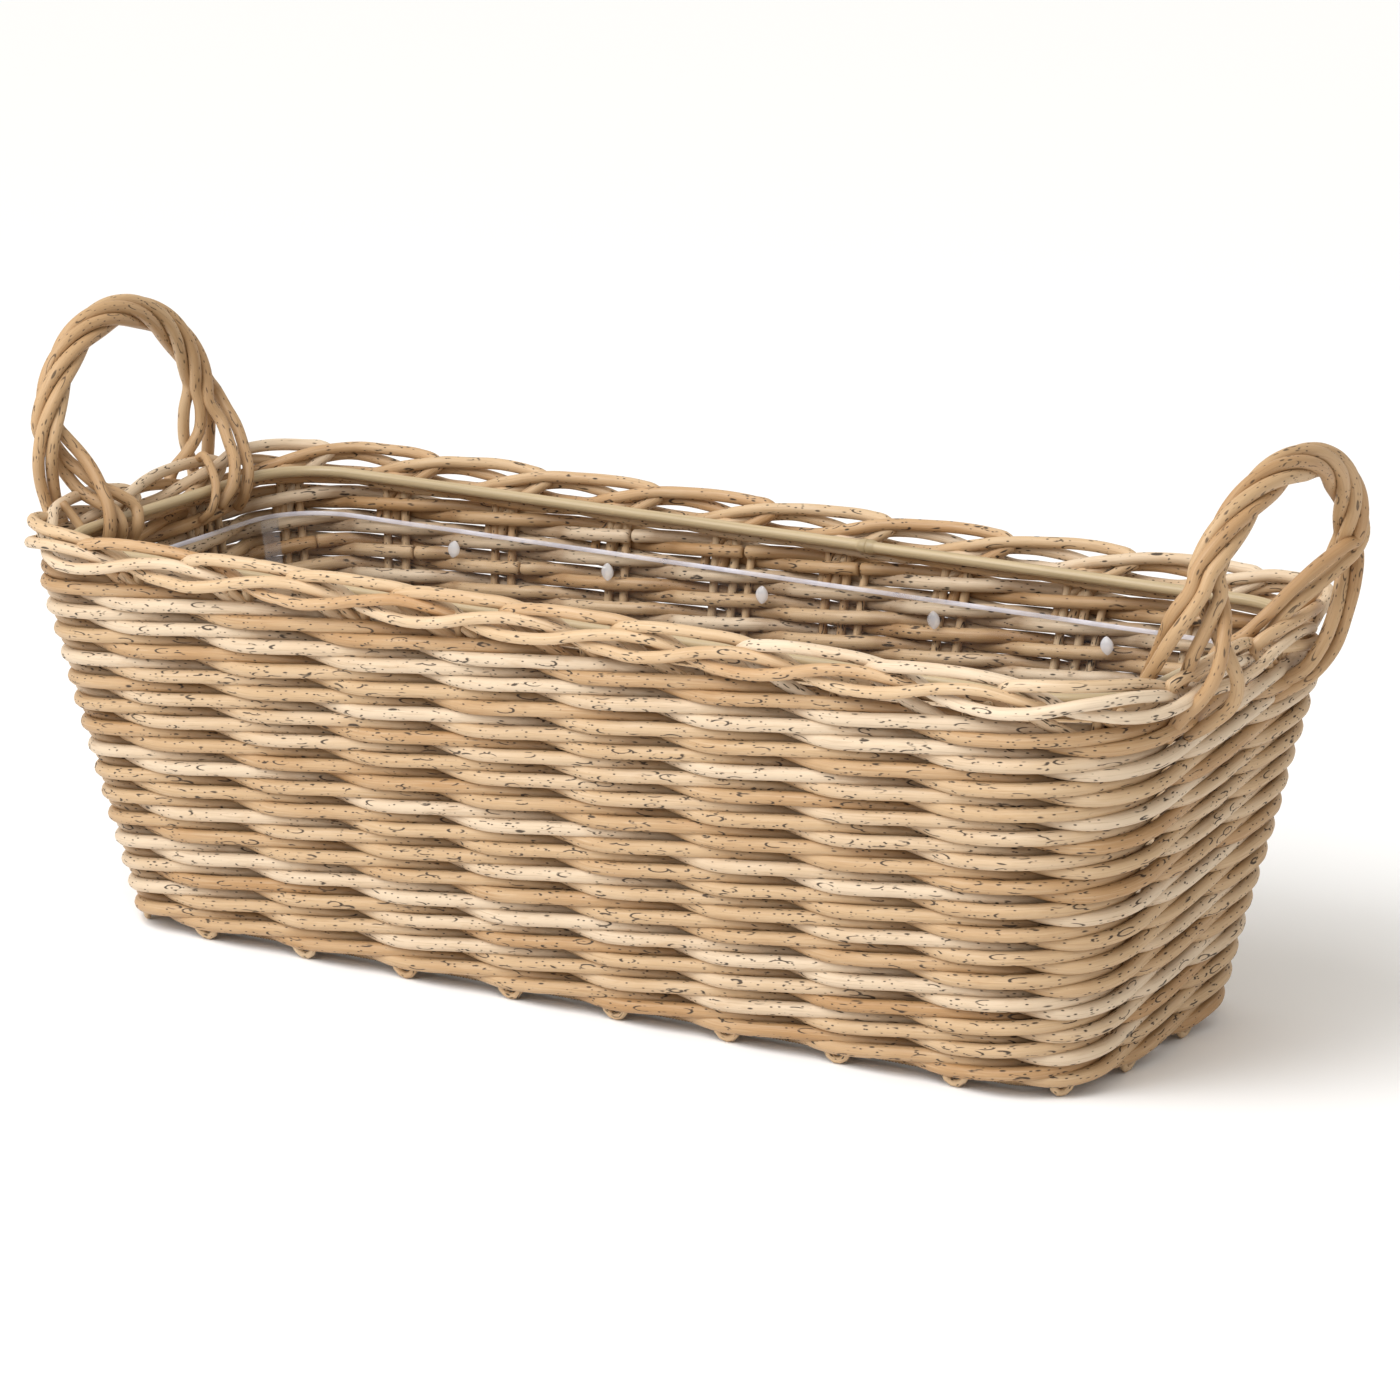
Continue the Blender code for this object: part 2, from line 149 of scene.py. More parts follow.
def drift(along: np.ndarray, rng: np.random.Generator, wavelength: float) -> np.ndarray:
    """A slow random wander between about -1 and 1.

    Formula: the sum of three sine waves of the wavelength, its half and its
    third, each with a random phase, weighted 1, 1/2 and 1/3, over 1.5.

    Args:
        along: the distance along the rod.
        rng: the seeded source of the phases.
        wavelength: the longest wave.

    Returns:
        The wander at each distance.
    """
    total = np.zeros_like(along)
    for order in (1, 2, 3):
        phase = rng.uniform(0.0, 2.0 * math.pi)
        total += np.sin(2.0 * math.pi * along * order / wavelength + phase) / order
    return total / 1.5


@dataclass(frozen=True)
class Uneven:
    """How far rods differ in thickness: one from the next, and along each.

    spread is the range from rod to rod and wander the most that one rod
    changes, both as shares of the radius; wave is how long its changes are.
    """

    spread: tuple
    wander: float
    wave: float

    def share(self, along: np.ndarray, rng: np.random.Generator) -> np.ndarray:
        """What to multiply a rod's radius by, at each distance along it."""
        return 1.0 + rng.uniform(*self.spread) + self.wander * drift(along, rng, self.wave)


@dataclass
class RodMesh:
    """Collects swept round rods and makes them one mesh object.

    bevel_reach and bevel_width say how far each cut end's bevel goes on and
    how wide its flat is, both as shares of the radius.
    """

    sides: int
    bevel_reach: float = 0.28
    bevel_width: float = 0.72
    count: int = 0
    corners: list[np.ndarray] = field(default_factory=list)
    quads: list[np.ndarray] = field(default_factory=list)
    caps: list[list[int]] = field(default_factory=list)
    lay: list[np.ndarray] = field(default_factory=list)
    tone: list[np.ndarray] = field(default_factory=list)
    shade: list[np.ndarray] = field(default_factory=list)

    def add(self, path: np.ndarray, radius: np.ndarray | float, guide: np.ndarray,
            tone: float, lay_start: float, shade: np.ndarray | float = 0.0) -> None:
        """Sweep one rod along a path, with both cut ends closed.

        Formula: corner (i, j) = path[i] + radius[i] * (cos a * side[i] + sin a
        * up[i]) at angle a = 2 pi j / sides, where side is the guide made
        square to the path and up is square to both. One narrower ring at
        each end makes the bevel of the cut.

        Args:
            path: centre points, one row each.
            radius: the radius at each point, or one for all.
            guide: a direction at each point that is never along the path.
            tone: the rod's own colour, from 0 to 1.
            lay_start: where the rod starts in the pattern of the cane.
            shade: how far each point is tucked in, from 0 to 1, which the cane's
                finish paints as shade; the hoop gives how near its joint each point is.
        """
        tangent = np.gradient(path, axis=0)
        tangent /= np.linalg.norm(tangent, axis=1)[:, None]
        size = np.broadcast_to(np.asarray(radius, float), (len(path),)).copy()
        dark = np.broadcast_to(np.asarray(shade, float), (len(path),)).copy()
        path = np.vstack((path[:1] - tangent[:1] * size[0] * self.bevel_reach, path,
                          path[-1:] + tangent[-1:] * size[-1] * self.bevel_reach))
        size = np.concatenate(([size[0] * self.bevel_width], size, [size[-1] * self.bevel_width]))
        dark = np.concatenate((dark[:1], dark, dark[-1:]))
        tangent = np.vstack((tangent[:1], tangent, tangent[-1:]))
        guide = np.vstack((guide[:1], guide, guide[-1:]))
        side = guide - (guide * tangent).sum(axis=1)[:, None] * tangent
        side /= np.linalg.norm(side, axis=1)[:, None]
        up = np.cross(tangent, side)
        angle = np.arange(self.sides) * 2.0 * math.pi / self.sides
        cos, sin = np.cos(angle)[None, :, None], np.sin(angle)[None, :, None]
        ring = path[:, None, :] + size[:, None, None] * (cos * side[:, None, :] + sin * up[:, None, :])
        along = np.concatenate(([0.0], np.cumsum(np.linalg.norm(np.diff(path, axis=0), axis=1))))
        lay = np.empty_like(ring)
        lay[..., 0] = size[:, None] * np.cos(angle)[None, :]
        lay[..., 1] = size[:, None] * np.sin(angle)[None, :]
        lay[..., 2] = (along + lay_start)[:, None]
        rows = len(path)
        index = self.count + np.arange(rows * self.sides).reshape(rows, self.sides)
        turned = np.roll(index, -1, axis=1)
        quads = np.stack((index[:-1], turned[:-1], turned[1:], index[1:]), axis=-1)
        self.corners.append(ring.reshape(-1, 3))
        self.lay.append(lay.reshape(-1, 3))
        self.tone.append(np.full(rows * self.sides, tone))
        self.shade.append(np.repeat(dark, self.sides))
        self.quads.append(quads.reshape(-1, 4))
        self.caps.append(index[0][::-1].tolist())
        self.caps.append(index[-1].tolist())
        self.count += rows * self.sides

    def build(self, name: str, material: bpy.types.Material) -> bpy.types.Object:
        """Make the object, with the cane's lay, tone and shade as attributes.

        Args:
            name: the piece's name.
            material: what the piece is made of.

        Returns:
            The object.
        """
        faces = np.concatenate(self.quads).tolist() + self.caps
        piece = mesh_object(name, np.concatenate(self.corners), faces, material)
        data = piece.data
        write_vector(data, "lay", np.concatenate(self.lay))
        write_number(data, "tone", np.concatenate(self.tone))
        write_number(data, "shade", np.concatenate(self.shade))
        return piece


def mesh_object(name: str, corners: np.ndarray, faces: list,
                material: bpy.types.Material) -> bpy.types.Object:
    """Make a smooth-shaded mesh object from corners and faces.

    Args:
        name: the piece's name.
        corners: one row of three for each corner.
        faces: corner numbers of each face.
        material: what the piece is made of.

    Returns:
        The object, at the origin, in the scene.
    """
    data = bpy.data.meshes.new(name)
    data.from_pydata(corners.tolist(), [], faces)
    data.polygons.foreach_set("use_smooth", np.ones(len(data.polygons), dtype=bool))
    data.materials.append(material)
    data.update()
    piece = bpy.data.objects.new(name, data)
    bpy.context.scene.collection.objects.link(piece)
    return piece


def write_vector(data: bpy.types.Mesh, name: str, values: np.ndarray) -> None:
    """Store a vector for each corner of a mesh."""
    layer = data.attributes.new(name, "FLOAT_VECTOR", "POINT")
    layer.data.foreach_set("vector", values.astype(np.float32).ravel())


def write_number(data: bpy.types.Mesh, name: str, values: np.ndarray) -> None:
    """Store a number for each corner of a mesh."""
    layer = data.attributes.new(name, "FLOAT", "POINT")
    layer.data.foreach_set("value", values.astype(np.float32))


def hand_over(piece: bpy.types.Object, slot: str, *nodes: str) -> None:
    """Let a finished piece ride on the basket and stand for its solids.

    Args:
        piece: the finished object.
        slot: the record's material slot; not used.
        nodes: the solids that it replaces, if any.
    """
    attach(piece, ROOT)
    if nodes:
        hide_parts(*nodes)
    LOG.info("%s: %d faces", piece.name, len(piece.data.polygons))


# The wall that everything follows.


@dataclass
class Wall:
    """The flared, round-cornered wall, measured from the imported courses."""

    stakes: int = 24
    course_count: int = 15
    strand: float = 5.85 * MM
    stake_inset: float = 9.2 * MM
    border_inset: float = 7.4 * MM
    low_corner: float = 37.7 * MM
    high_corner: float = 50.2 * MM
    packed_strand: float = 4.7 * MM

    def __post_init__(self) -> None:
        """Read both ends of the wall's slope from the first and last course."""
        low, high = (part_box(f"wale_course_{n:02d}") for n in (1, self.course_count))
        rod = self.packed_strand / 2
        self.low_level = low[1].z - rod
        self.high_level = high[1].z - rod
        self.low_half = np.array([low[1].x, low[1].y])
        self.high_half = np.array([high[1].x, high[1].y])
        self.first_course = (low[0].z + low[1].z) / 2
        self.course_pitch = (self.high_level - self.low_level) / (self.course_count - 1)
        self.top = high[1].z
        self._measure()

    def _measure(self) -> None:
        """Find where the corners start and end, in spaces between stakes."""
        half, radius = self._sizes(np.array([(self.low_level + self.high_level) / 2]))
        run_x = 2 * (half[0, 0] - radius[0])
        run_y = 2 * (half[0, 1] - radius[0])
        arc = radius[0] * math.pi / 2
        runs = np.array([run_x / 2, arc, run_y, arc, run_x, arc, run_y, arc, run_x / 2])
        self.round_length = float(runs.sum())
        self.space = self.round_length / self.stakes
        self.knots = np.concatenate(([0.0], np.cumsum(runs))) / self.space

    def _sizes(self, level: np.ndarray) -> tuple[np.ndarray, np.ndarray]:
        """Half length, half width and corner radius at each level.

        Formula: each runs in a straight line from its low to its high value.

        Args:
            level: the heights.

        Returns:
            A row of half length and half width, and a corner radius, for each.
        """
        share = (level - self.low_level) / (self.high_level - self.low_level)
        half = self.low_half + (self.high_half - self.low_half) * share[:, None]
        radius = self.low_corner + (self.high_corner - self.low_corner) * share
        return half, radius

    def heading(self, turn: np.ndarray) -> np.ndarray:
        """The angle that the wall faces at each turn.

        Formula: it stays as it is along a straight side, and grows evenly by
        a quarter turn round each corner.

        Args:
            turn: spaces between stakes, round from the middle of the front.

        Returns:
            The angle from +X, in radians.
        """
        quarter = math.pi / 2
        angles = np.array([-1, -1, 0, 0, 1, 1, 2, 2, 3, 3]) * quarter
        lap = np.floor(turn / self.stakes)
        return np.interp(turn - lap * self.stakes, self.knots, angles)

    def outward(self, turn: np.ndarray) -> np.ndarray:
        """The level direction out of the wall at each turn."""
        angle = self.heading(turn)
        return np.stack((np.cos(angle), np.sin(angle), np.zeros_like(angle)), axis=-1)

    def place(self, turn: np.ndarray, inset: np.ndarray | float, level: np.ndarray | float) -> np.ndarray:
        """Points of the wall.

        Formula: the middle of the corner's arc, which slides along a straight
        side as turn does, plus the corner radius less inset, along the
        outward direction.

        Args:
            turn: spaces between stakes, round from the middle of the front.
            inset: how far in from the outside of the weave.
            level: the height.

        Returns:
            One row of three for each turn.
        """
        turn = np.asarray(turn, float)
        level = np.broadcast_to(np.asarray(level, float), turn.shape)
        half, radius = self._sizes(level)
        around = turn - np.floor(turn / self.stakes) * self.stakes
        sign_x = np.interp(around, self.knots, [0, 1, 1, 1, 1, -1, -1, -1, -1, 0])
        sign_y = np.interp(around, self.knots, [-1, -1, -1, 1, 1, 1, 1, -1, -1, -1])
        reach = radius - inset
        out = self.outward(turn)
        x = sign_x * (half[:, 0] - radius) + reach * out[:, 0]
        y = sign_y * (half[:, 1] - radius) + reach * out[:, 1]
        return np.stack((x, y, level), axis=-1)

    def run(self, turns: np.ndarray, insets: np.ndarray, levels: np.ndarray,
            step: float) -> tuple[np.ndarray, np.ndarray, np.ndarray]:
        """A smooth path over the wall through listed places.

        Formula: a smooth route on the wall laid out flat, in lengths along
        it, in from it and up it, which is then bent round the wall.

        Args:
            turns: the places round the wall.
            insets: how far in each place lies.
            levels: the heights.
            step: the distance between the path's points.

        Returns:
            The turn, the inset and the point itself, all along the path.
        """
        fine = smooth_route(np.stack((turns * self.space, insets, levels), axis=-1), step)
        turn = fine[:, 0] / self.space
        return turn, fine[:, 1], self.place(turn, fine[:, 1], fine[:, 2])

    def end_reach(self, inset: float, level: float) -> float:
        """How far out along +X the middle of the right end lies."""
        return float(self.place(np.array([self.stakes / 4]), inset, level)[0, 0])


# Finishes.


@dataclass(frozen=True)
class Waves:
    """Fractal noise: waves to the metre along each axis, and the finer layers' number and strength."""

    lay: tuple
    detail: float
    roughness: float


@dataclass(frozen=True)
class Spots:
    """Scattered spots: cells to the metre along each axis.

    A spot fills its cell out to core and fades out at edge; the cells whose
    random number lies below blank have none.
    """

    lay: tuple
    core: float
    edge: float
    blank: float


class NodeBoard:
    """Short calls that lay out a material's nodes.

    A ramp's numbers are where it starts and ends, and then, unless they are 0
    and 1, what it gives at each.
    """

    def __init__(self, name: str) -> None:
        """Make a material with its shader and output.

        Args:
            name: the material's name.
        """
        self.material = bpy.data.materials.new(name)
        self.material.use_nodes = True
        self.tree = self.material.node_tree
        self.shader = self.tree.nodes["Principled BSDF"]

    def node(self, kind: str, inputs: dict | None = None, **settings: object) -> bpy.types.Node:
        """Add a node, set it up and join its inputs.

        Args:
            kind: the node's type name.
            inputs: values or sockets by input name or number.
            settings: properties of the node itself.

        Returns:
            The node.
        """
        made = self.tree.nodes.new(kind)
        for key, value in settings.items():
            setattr(made, key, value)
        for key, value in (inputs or {}).items():
            if isinstance(value, bpy.types.NodeSocket):
                self.tree.links.new(value, made.inputs[key])
            else:
                made.inputs[key].default_value = value
        return made

    def attribute(self, name: str) -> bpy.types.Node:
        """An attribute of the piece's own mesh."""
        return self.node("ShaderNodeAttribute", attribute_name=name, attribute_type="GEOMETRY")

    def scaled(self, vector: bpy.types.NodeSocket, scale: tuple) -> bpy.types.NodeSocket:
        """A vector multiplied by a scale along each axis."""
        made = self.node("ShaderNodeVectorMath", {0: vector, 1: scale}, operation="MULTIPLY")
        return made.outputs["Vector"]

    def math(self, operation: str, first: object, second: object = 0.0,
             clamp: bool = False) -> bpy.types.NodeSocket:
        """One sum on numbers."""
        made = self.node("ShaderNodeMath", {0: first, 1: second}, operation=operation, use_clamp=clamp)
        return made.outputs["Value"]

    def ramp(self, value: bpy.types.NodeSocket, low: float, high: float,
             to_low: float = 0.0, to_high: float = 1.0) -> bpy.types.NodeSocket:
        """A number spread smoothly from one range to another, held at its ends."""
        made = self.node("ShaderNodeMapRange", {"Value": value, "From Min": low, "From Max": high,
                                                "To Min": to_low, "To Max": to_high},
                         interpolation_type="SMOOTHSTEP")
        return made.outputs["Result"]

    def noise(self, vector: bpy.types.NodeSocket, waves: Waves) -> bpy.types.NodeSocket:
        """Fractal noise, from 0 to 1."""
        inputs = {"Vector": self.scaled(vector, waves.lay), "Scale": 1.0,
                  "Detail": waves.detail, "Roughness": waves.roughness}
        return self.node("ShaderNodeTexNoise", inputs).outputs["Fac"]

    def cells(self, vector: bpy.types.NodeSocket, lay: tuple) -> bpy.types.Node:
        """Distance to the nearest of scattered points, with a random colour each."""
        return self.node("ShaderNodeTexVoronoi", {"Vector": self.scaled(vector, lay), "Scale": 1.0})

    def filled(self, cells: bpy.types.Node, blank: float) -> bpy.types.NodeSocket:
        """One for the cells whose random number lies above blank, else nought."""
        split = self.node("ShaderNodeSeparateColor", {"Color": cells.outputs["Color"]})
        return self.math("GREATER_THAN", split.outputs["Red"], blank)

    def spots(self, vector: bpy.types.NodeSocket, spots: Spots) -> bpy.types.NodeSocket:
        """Soft-edged spots in the middle of some cells.

        Args:
            vector: the place on the piece.
            spots: the spots' sizes.

        Returns:
            One inside a spot, nought outside.
        """
        cells = self.cells(vector, spots.lay)
        spot = self.ramp(cells.outputs["Distance"], spots.edge, spots.core)
        return self.math("MULTIPLY", spot, self.filled(cells, spots.blank))

    def mix(self, share: object, first: object, second: object) -> bpy.types.NodeSocket:
        """A colour mixed from two.

        Args:
            share: how much of the second.
            first: the first colour, or its socket.
            second: the second colour, or its socket.

        Returns:
            The mixed colour.
        """
        made = self.node("ShaderNodeMix", data_type="RGBA", blend_type="MIX")
        # The colour sockets come after those for numbers and vectors, which have the same names.
        for socket, value in ((made.inputs[0], share), (made.inputs[6], first), (made.inputs[7], second)):
            if isinstance(value, bpy.types.NodeSocket):
                self.tree.links.new(value, socket)
            else:
                socket.default_value = value
        return made.outputs[2]

    def bump(self, height: bpy.types.NodeSocket, strength: float, distance: float) -> None:
        """Let a height stand out from the surface by up to a distance."""
        made = self.node("ShaderNodeBump", {"Strength": strength, "Distance": distance, "Height": height})
        self.wire(made.outputs["Normal"], "Normal")

    def wire(self, socket: bpy.types.NodeSocket, name: str) -> None:
        """Join a socket to the shader's input of that name."""
        self.tree.links.new(socket, self.shader.inputs[name])

    def fix(self, **values: object) -> None:
        """Set the shader's own sockets, with underscores for spaces."""
        for key, value in values.items():
            self.shader.inputs[key.replace("_", " ")].default_value = value


@dataclass(frozen=True)
class CaneFinish:
    """Peeled cane: pale straw to tan, with grain, dark flecks and hooked scars.

    warmth runs from pale over straw to tan; it adds up the rod's own tone and
    slow noise along it. Where the rod is tucked in, shade is painted on in
    dark brown, broken up by clouds.
    """

    name: str
    pale: tuple = (0.68, 0.55, 0.405, 1.0)
    straw: tuple = (0.57, 0.40, 0.235, 1.0)
    tan: tuple = (0.44, 0.25, 0.11, 1.0)
    # Dark brown of the grain's dark lines, and also of the painted shade where a rod is tucked in.
    dark_grain_and_shade: tuple = (0.22, 0.11, 0.038, 1.0)
    fleck: tuple = (0.030, 0.018, 0.011, 1.0)
    fleck_amount: float = 1.0
    slow: Waves = Waves((60.0, 60.0, 14.0), 3.0, 0.6)
    cloud: Waves = Waves((230.0, 230.0, 60.0), 4.0, 0.65)
    grain: Waves = Waves((1500.0, 1500.0, 42.0), 3.0, 0.7)
    tone_warmth: float = 0.62
    slow_warmth: float = 0.62
    pale_to_straw: tuple = (0.30, 0.66)
    straw_to_tan: tuple = (0.66, 1.02)
    cloud_tan: tuple = (0.54, 0.78, 0.0, 0.38)
    grain_dark: tuple = (0.50, 0.74, 0.0, 0.34)
    grain_light: tuple = (0.50, 0.28, 0.0, 0.30)
    # Painted shade: the ramp that turns the shade attribute into darkening, the clouds that break it up,
    # and its greatest strength.
    shade_ramp: tuple = (0.15, 1.0)
    shade_clouds: tuple = (0.20, 0.70, 0.35, 1.0)
    shade_amount: float = 0.62
    dots: Spots = Spots((700.0, 700.0, 300.0), 0.12, 0.26, 0.45)
    dashes: Spots = Spots((430.0, 430.0, 130.0), 0.10, 0.22, 0.34)
    hook_lay: tuple = (300.0, 300.0, 80.0)
    hook_radius: float = 0.34
    hook_line: tuple = (0.070, 0.025)
    hook_blank: float = 0.38
    cut: Waves = Waves((420.0, 420.0, 120.0), 1.0, 0.5)
    cut_edge: tuple = (0.52, 0.60)
    fleck_strength: float = 0.94
    base_roughness: float = 0.42
    grain_roughness: float = 0.22
    fleck_roughness: float = 0.2
    grain_height: float = 0.5
    fleck_depth: float = 0.6
    cloud_height: float = 0.9
    bump_strength: float = 0.55
    bump_distance: float = 0.22 * MM
    refraction: float = 1.48

    def make(self) -> bpy.types.Material:
        """Lay out the cane's nodes on the rod's own lay, tone and shade.

        Formula: the body's colour, darkened where the flecks and scars lie;
        both and the grain also make it rougher and uneven.

        Returns:
            The material.
        """
        board = NodeBoard(self.name)
        lay = board.attribute("lay").outputs["Vector"]
        cloud = board.noise(lay, self.cloud)
        grain = board.noise(lay, self.grain)
        body = self._body(board, lay, cloud, grain)
        marks = self._marks(board, lay)
        colour = board.mix(board.math("MULTIPLY", marks, self.fleck_strength), body, self.fleck)
        board.wire(colour, "Base Color")
        rough = board.math("ADD", self.base_roughness, board.math("MULTIPLY", grain, self.grain_roughness))
        rough = board.math("ADD", rough, board.math("MULTIPLY", marks, self.fleck_roughness), clamp=True)
        board.wire(rough, "Roughness")
        height = board.math("SUBTRACT", board.math("MULTIPLY", grain, self.grain_height),
                            board.math("MULTIPLY", marks, self.fleck_depth))
        height = board.math("ADD", height, board.math("MULTIPLY", cloud, self.cloud_height))
        board.bump(height, self.bump_strength, self.bump_distance)
        board.fix(IOR=self.refraction)
        return board.material

    def _body(self, board: NodeBoard, lay: bpy.types.NodeSocket, cloud: bpy.types.NodeSocket,
              grain: bpy.types.NodeSocket) -> bpy.types.NodeSocket:
        """The cane's colour without its flecks.

        Formula: pale, straw or tan by warmth; tan in clouds; dark and pale
        lines of fine noise stretched along the rod; and painted shade, in
        clouds, where the rod is tucked in.

        Args:
            board: the material's board.
            lay: the place on the rod.
            cloud: the cloudy noise.
            grain: the noise of the grain.

        Returns:
            The colour.
        """
        tone = board.attribute("tone").outputs["Fac"]
        shade = board.attribute("shade").outputs["Fac"]
        warmth = board.math("ADD", board.math("MULTIPLY", tone, self.tone_warmth),
                            board.math("MULTIPLY", board.noise(lay, self.slow), self.slow_warmth))
        body = board.mix(board.ramp(warmth, *self.pale_to_straw), self.pale, self.straw)
        body = board.mix(board.ramp(warmth, *self.straw_to_tan), body, self.tan)
        body = board.mix(board.ramp(cloud, *self.cloud_tan), body, self.tan)
        body = board.mix(board.ramp(grain, *self.grain_dark), body, self.dark_grain_and_shade)
        body = board.mix(board.ramp(grain, *self.grain_light), body, self.pale)
        # Painted shade: darker brown where the rod's shade attribute says it is tucked in, broken up by the
        # clouds.
        painted_shade = board.math("MULTIPLY", board.ramp(shade, *self.shade_ramp), board.ramp(cloud, *self.shade_clouds))
        return board.mix(board.math("MULTIPLY", painted_shade, self.shade_amount), body, self.dark_grain_and_shade)

    def _marks(self, board: NodeBoard, lay: bpy.types.NodeSocket) -> bpy.types.NodeSocket:
        """The flecks and scars.

        Formula: the strongest of round dots, longer dashes, and rings round
        the middle of larger cells, which noise cuts into hooks.

        Args:
            board: the material's board.
            lay: the place on the rod.

        Returns:
            One on a mark, nought on clean cane.
        """
        dots = board.spots(lay, self.dots)
        dashes = board.spots(lay, self.dashes)
        cells = board.cells(lay, self.hook_lay)
        ring = board.math("ABSOLUTE", board.math("SUBTRACT", cells.outputs["Distance"], self.hook_radius))
        cut = board.ramp(board.noise(lay, self.cut), *self.cut_edge)
        hooks = board.math("MULTIPLY", board.ramp(ring, *self.hook_line), cut)
        hooks = board.math("MULTIPLY", hooks, board.filled(cells, self.hook_blank))
        marks = board.math("MAXIMUM", board.math("MAXIMUM", dots, dashes), hooks)
        return board.math("MULTIPLY", marks, self.fleck_amount, clamp=True)


@dataclass(frozen=True)
class HoopFinish:
    """Smooth olive-beige rod with fine lengthwise lines."""

    name: str = "hoop_rod_skin"
    light: tuple = (0.50, 0.39, 0.235, 1.0)
    dark: tuple = (0.27, 0.20, 0.10, 1.0)
    lines: Waves = Waves((900.0, 900.0, 12.0), 3.0, 0.6)
    patches: Waves = Waves((90.0, 90.0, 22.0), 3.0, 0.6)
    line_dark: tuple = (0.42, 0.80, 0.0, 0.55)
    patch_dark: tuple = (0.50, 0.85, 0.0, 0.35)
    joint_dark: float = 0.5
    base_roughness: float = 0.30
    line_roughness: float = 0.16
    bump_strength: float = 0.3
    bump_distance: float = 0.1 * MM

    def make(self) -> bpy.types.Material:
        """Lay out noise stretched along the rod, for lines and patches.

        Returns:
            The material.
        """
        board = NodeBoard(self.name)
        lay = board.attribute("lay").outputs["Vector"]
        shade = board.attribute("shade").outputs["Fac"]
        lines = board.noise(lay, self.lines)
        patches = board.noise(lay, self.patches)
        body = board.mix(board.ramp(lines, *self.line_dark), self.light, self.dark)
        body = board.mix(board.ramp(patches, *self.patch_dark), body, self.dark)
        board.wire(board.mix(board.math("MULTIPLY", shade, self.joint_dark), body, self.dark), "Base Color")
        rough = board.math("ADD", self.base_roughness, board.math("MULTIPLY", lines, self.line_roughness))
        board.wire(rough, "Roughness")
        board.bump(lines, self.bump_strength, self.bump_distance)
        return board.material


@dataclass(frozen=True)
class FilmFinish:
    """Clear plastic film: nearly invisible, with a cold glossy gleam."""

    name: str
    tint: tuple = (0.90, 0.90, 0.96, 1.0)
    opacity: float = 0.006
    roughness: float = 0.10
    refraction: float = 1.46
    folds: Waves = Waves((22.0, 22.0, 7.0), 3.0, 0.55)
    cloud: Waves = Waves((60.0, 60.0, 18.0), 3.0, 0.6)
    clouding: tuple = (0.78, 0.78, 0.82, 1.0)
    fade: tuple = (0.35, 0.75)
    thin: float = 0.5
    thick: float = 1.5
    bump_strength: float = 0.5
    bump_distance: float = 1.6 * MM

    def make(self) -> bpy.types.Material:
        """Lay out faint clouding and shallow crinkles over a see-through shader.

        Returns:
            The material.
        """
        board = NodeBoard(self.name)
        place = board.node("ShaderNodeTexCoord").outputs["Object"]
        folds = board.noise(place, self.folds)
        cloud = board.noise(place, self.cloud)
        grey = tuple(tint * share for tint, share in zip(self.tint, self.clouding))
        board.wire(board.mix(board.ramp(cloud, *self.fade), self.tint, grey), "Base Color")
        see = board.ramp(folds, *self.fade, self.opacity * self.thin, self.opacity * self.thick)
        board.wire(see, "Alpha")
        board.bump(folds, self.bump_strength, self.bump_distance)
        board.fix(Roughness=self.roughness, IOR=self.refraction)
        return board.material


@dataclass(frozen=True)
class StageFinish:
    """Plain pale floor paint."""

    name: str = "pale_floor"
    colour: tuple = (0.96, 0.97, 0.99, 1.0)
    roughness: float = 0.9

    def make(self) -> bpy.types.Material:
        """Make a plain matt surface.

        Returns:
            The material.
        """
        board = NodeBoard(self.name)
        board.fix(Base_Color=self.colour, Roughness=self.roughness)
        return board.material


# The basket's own parts.


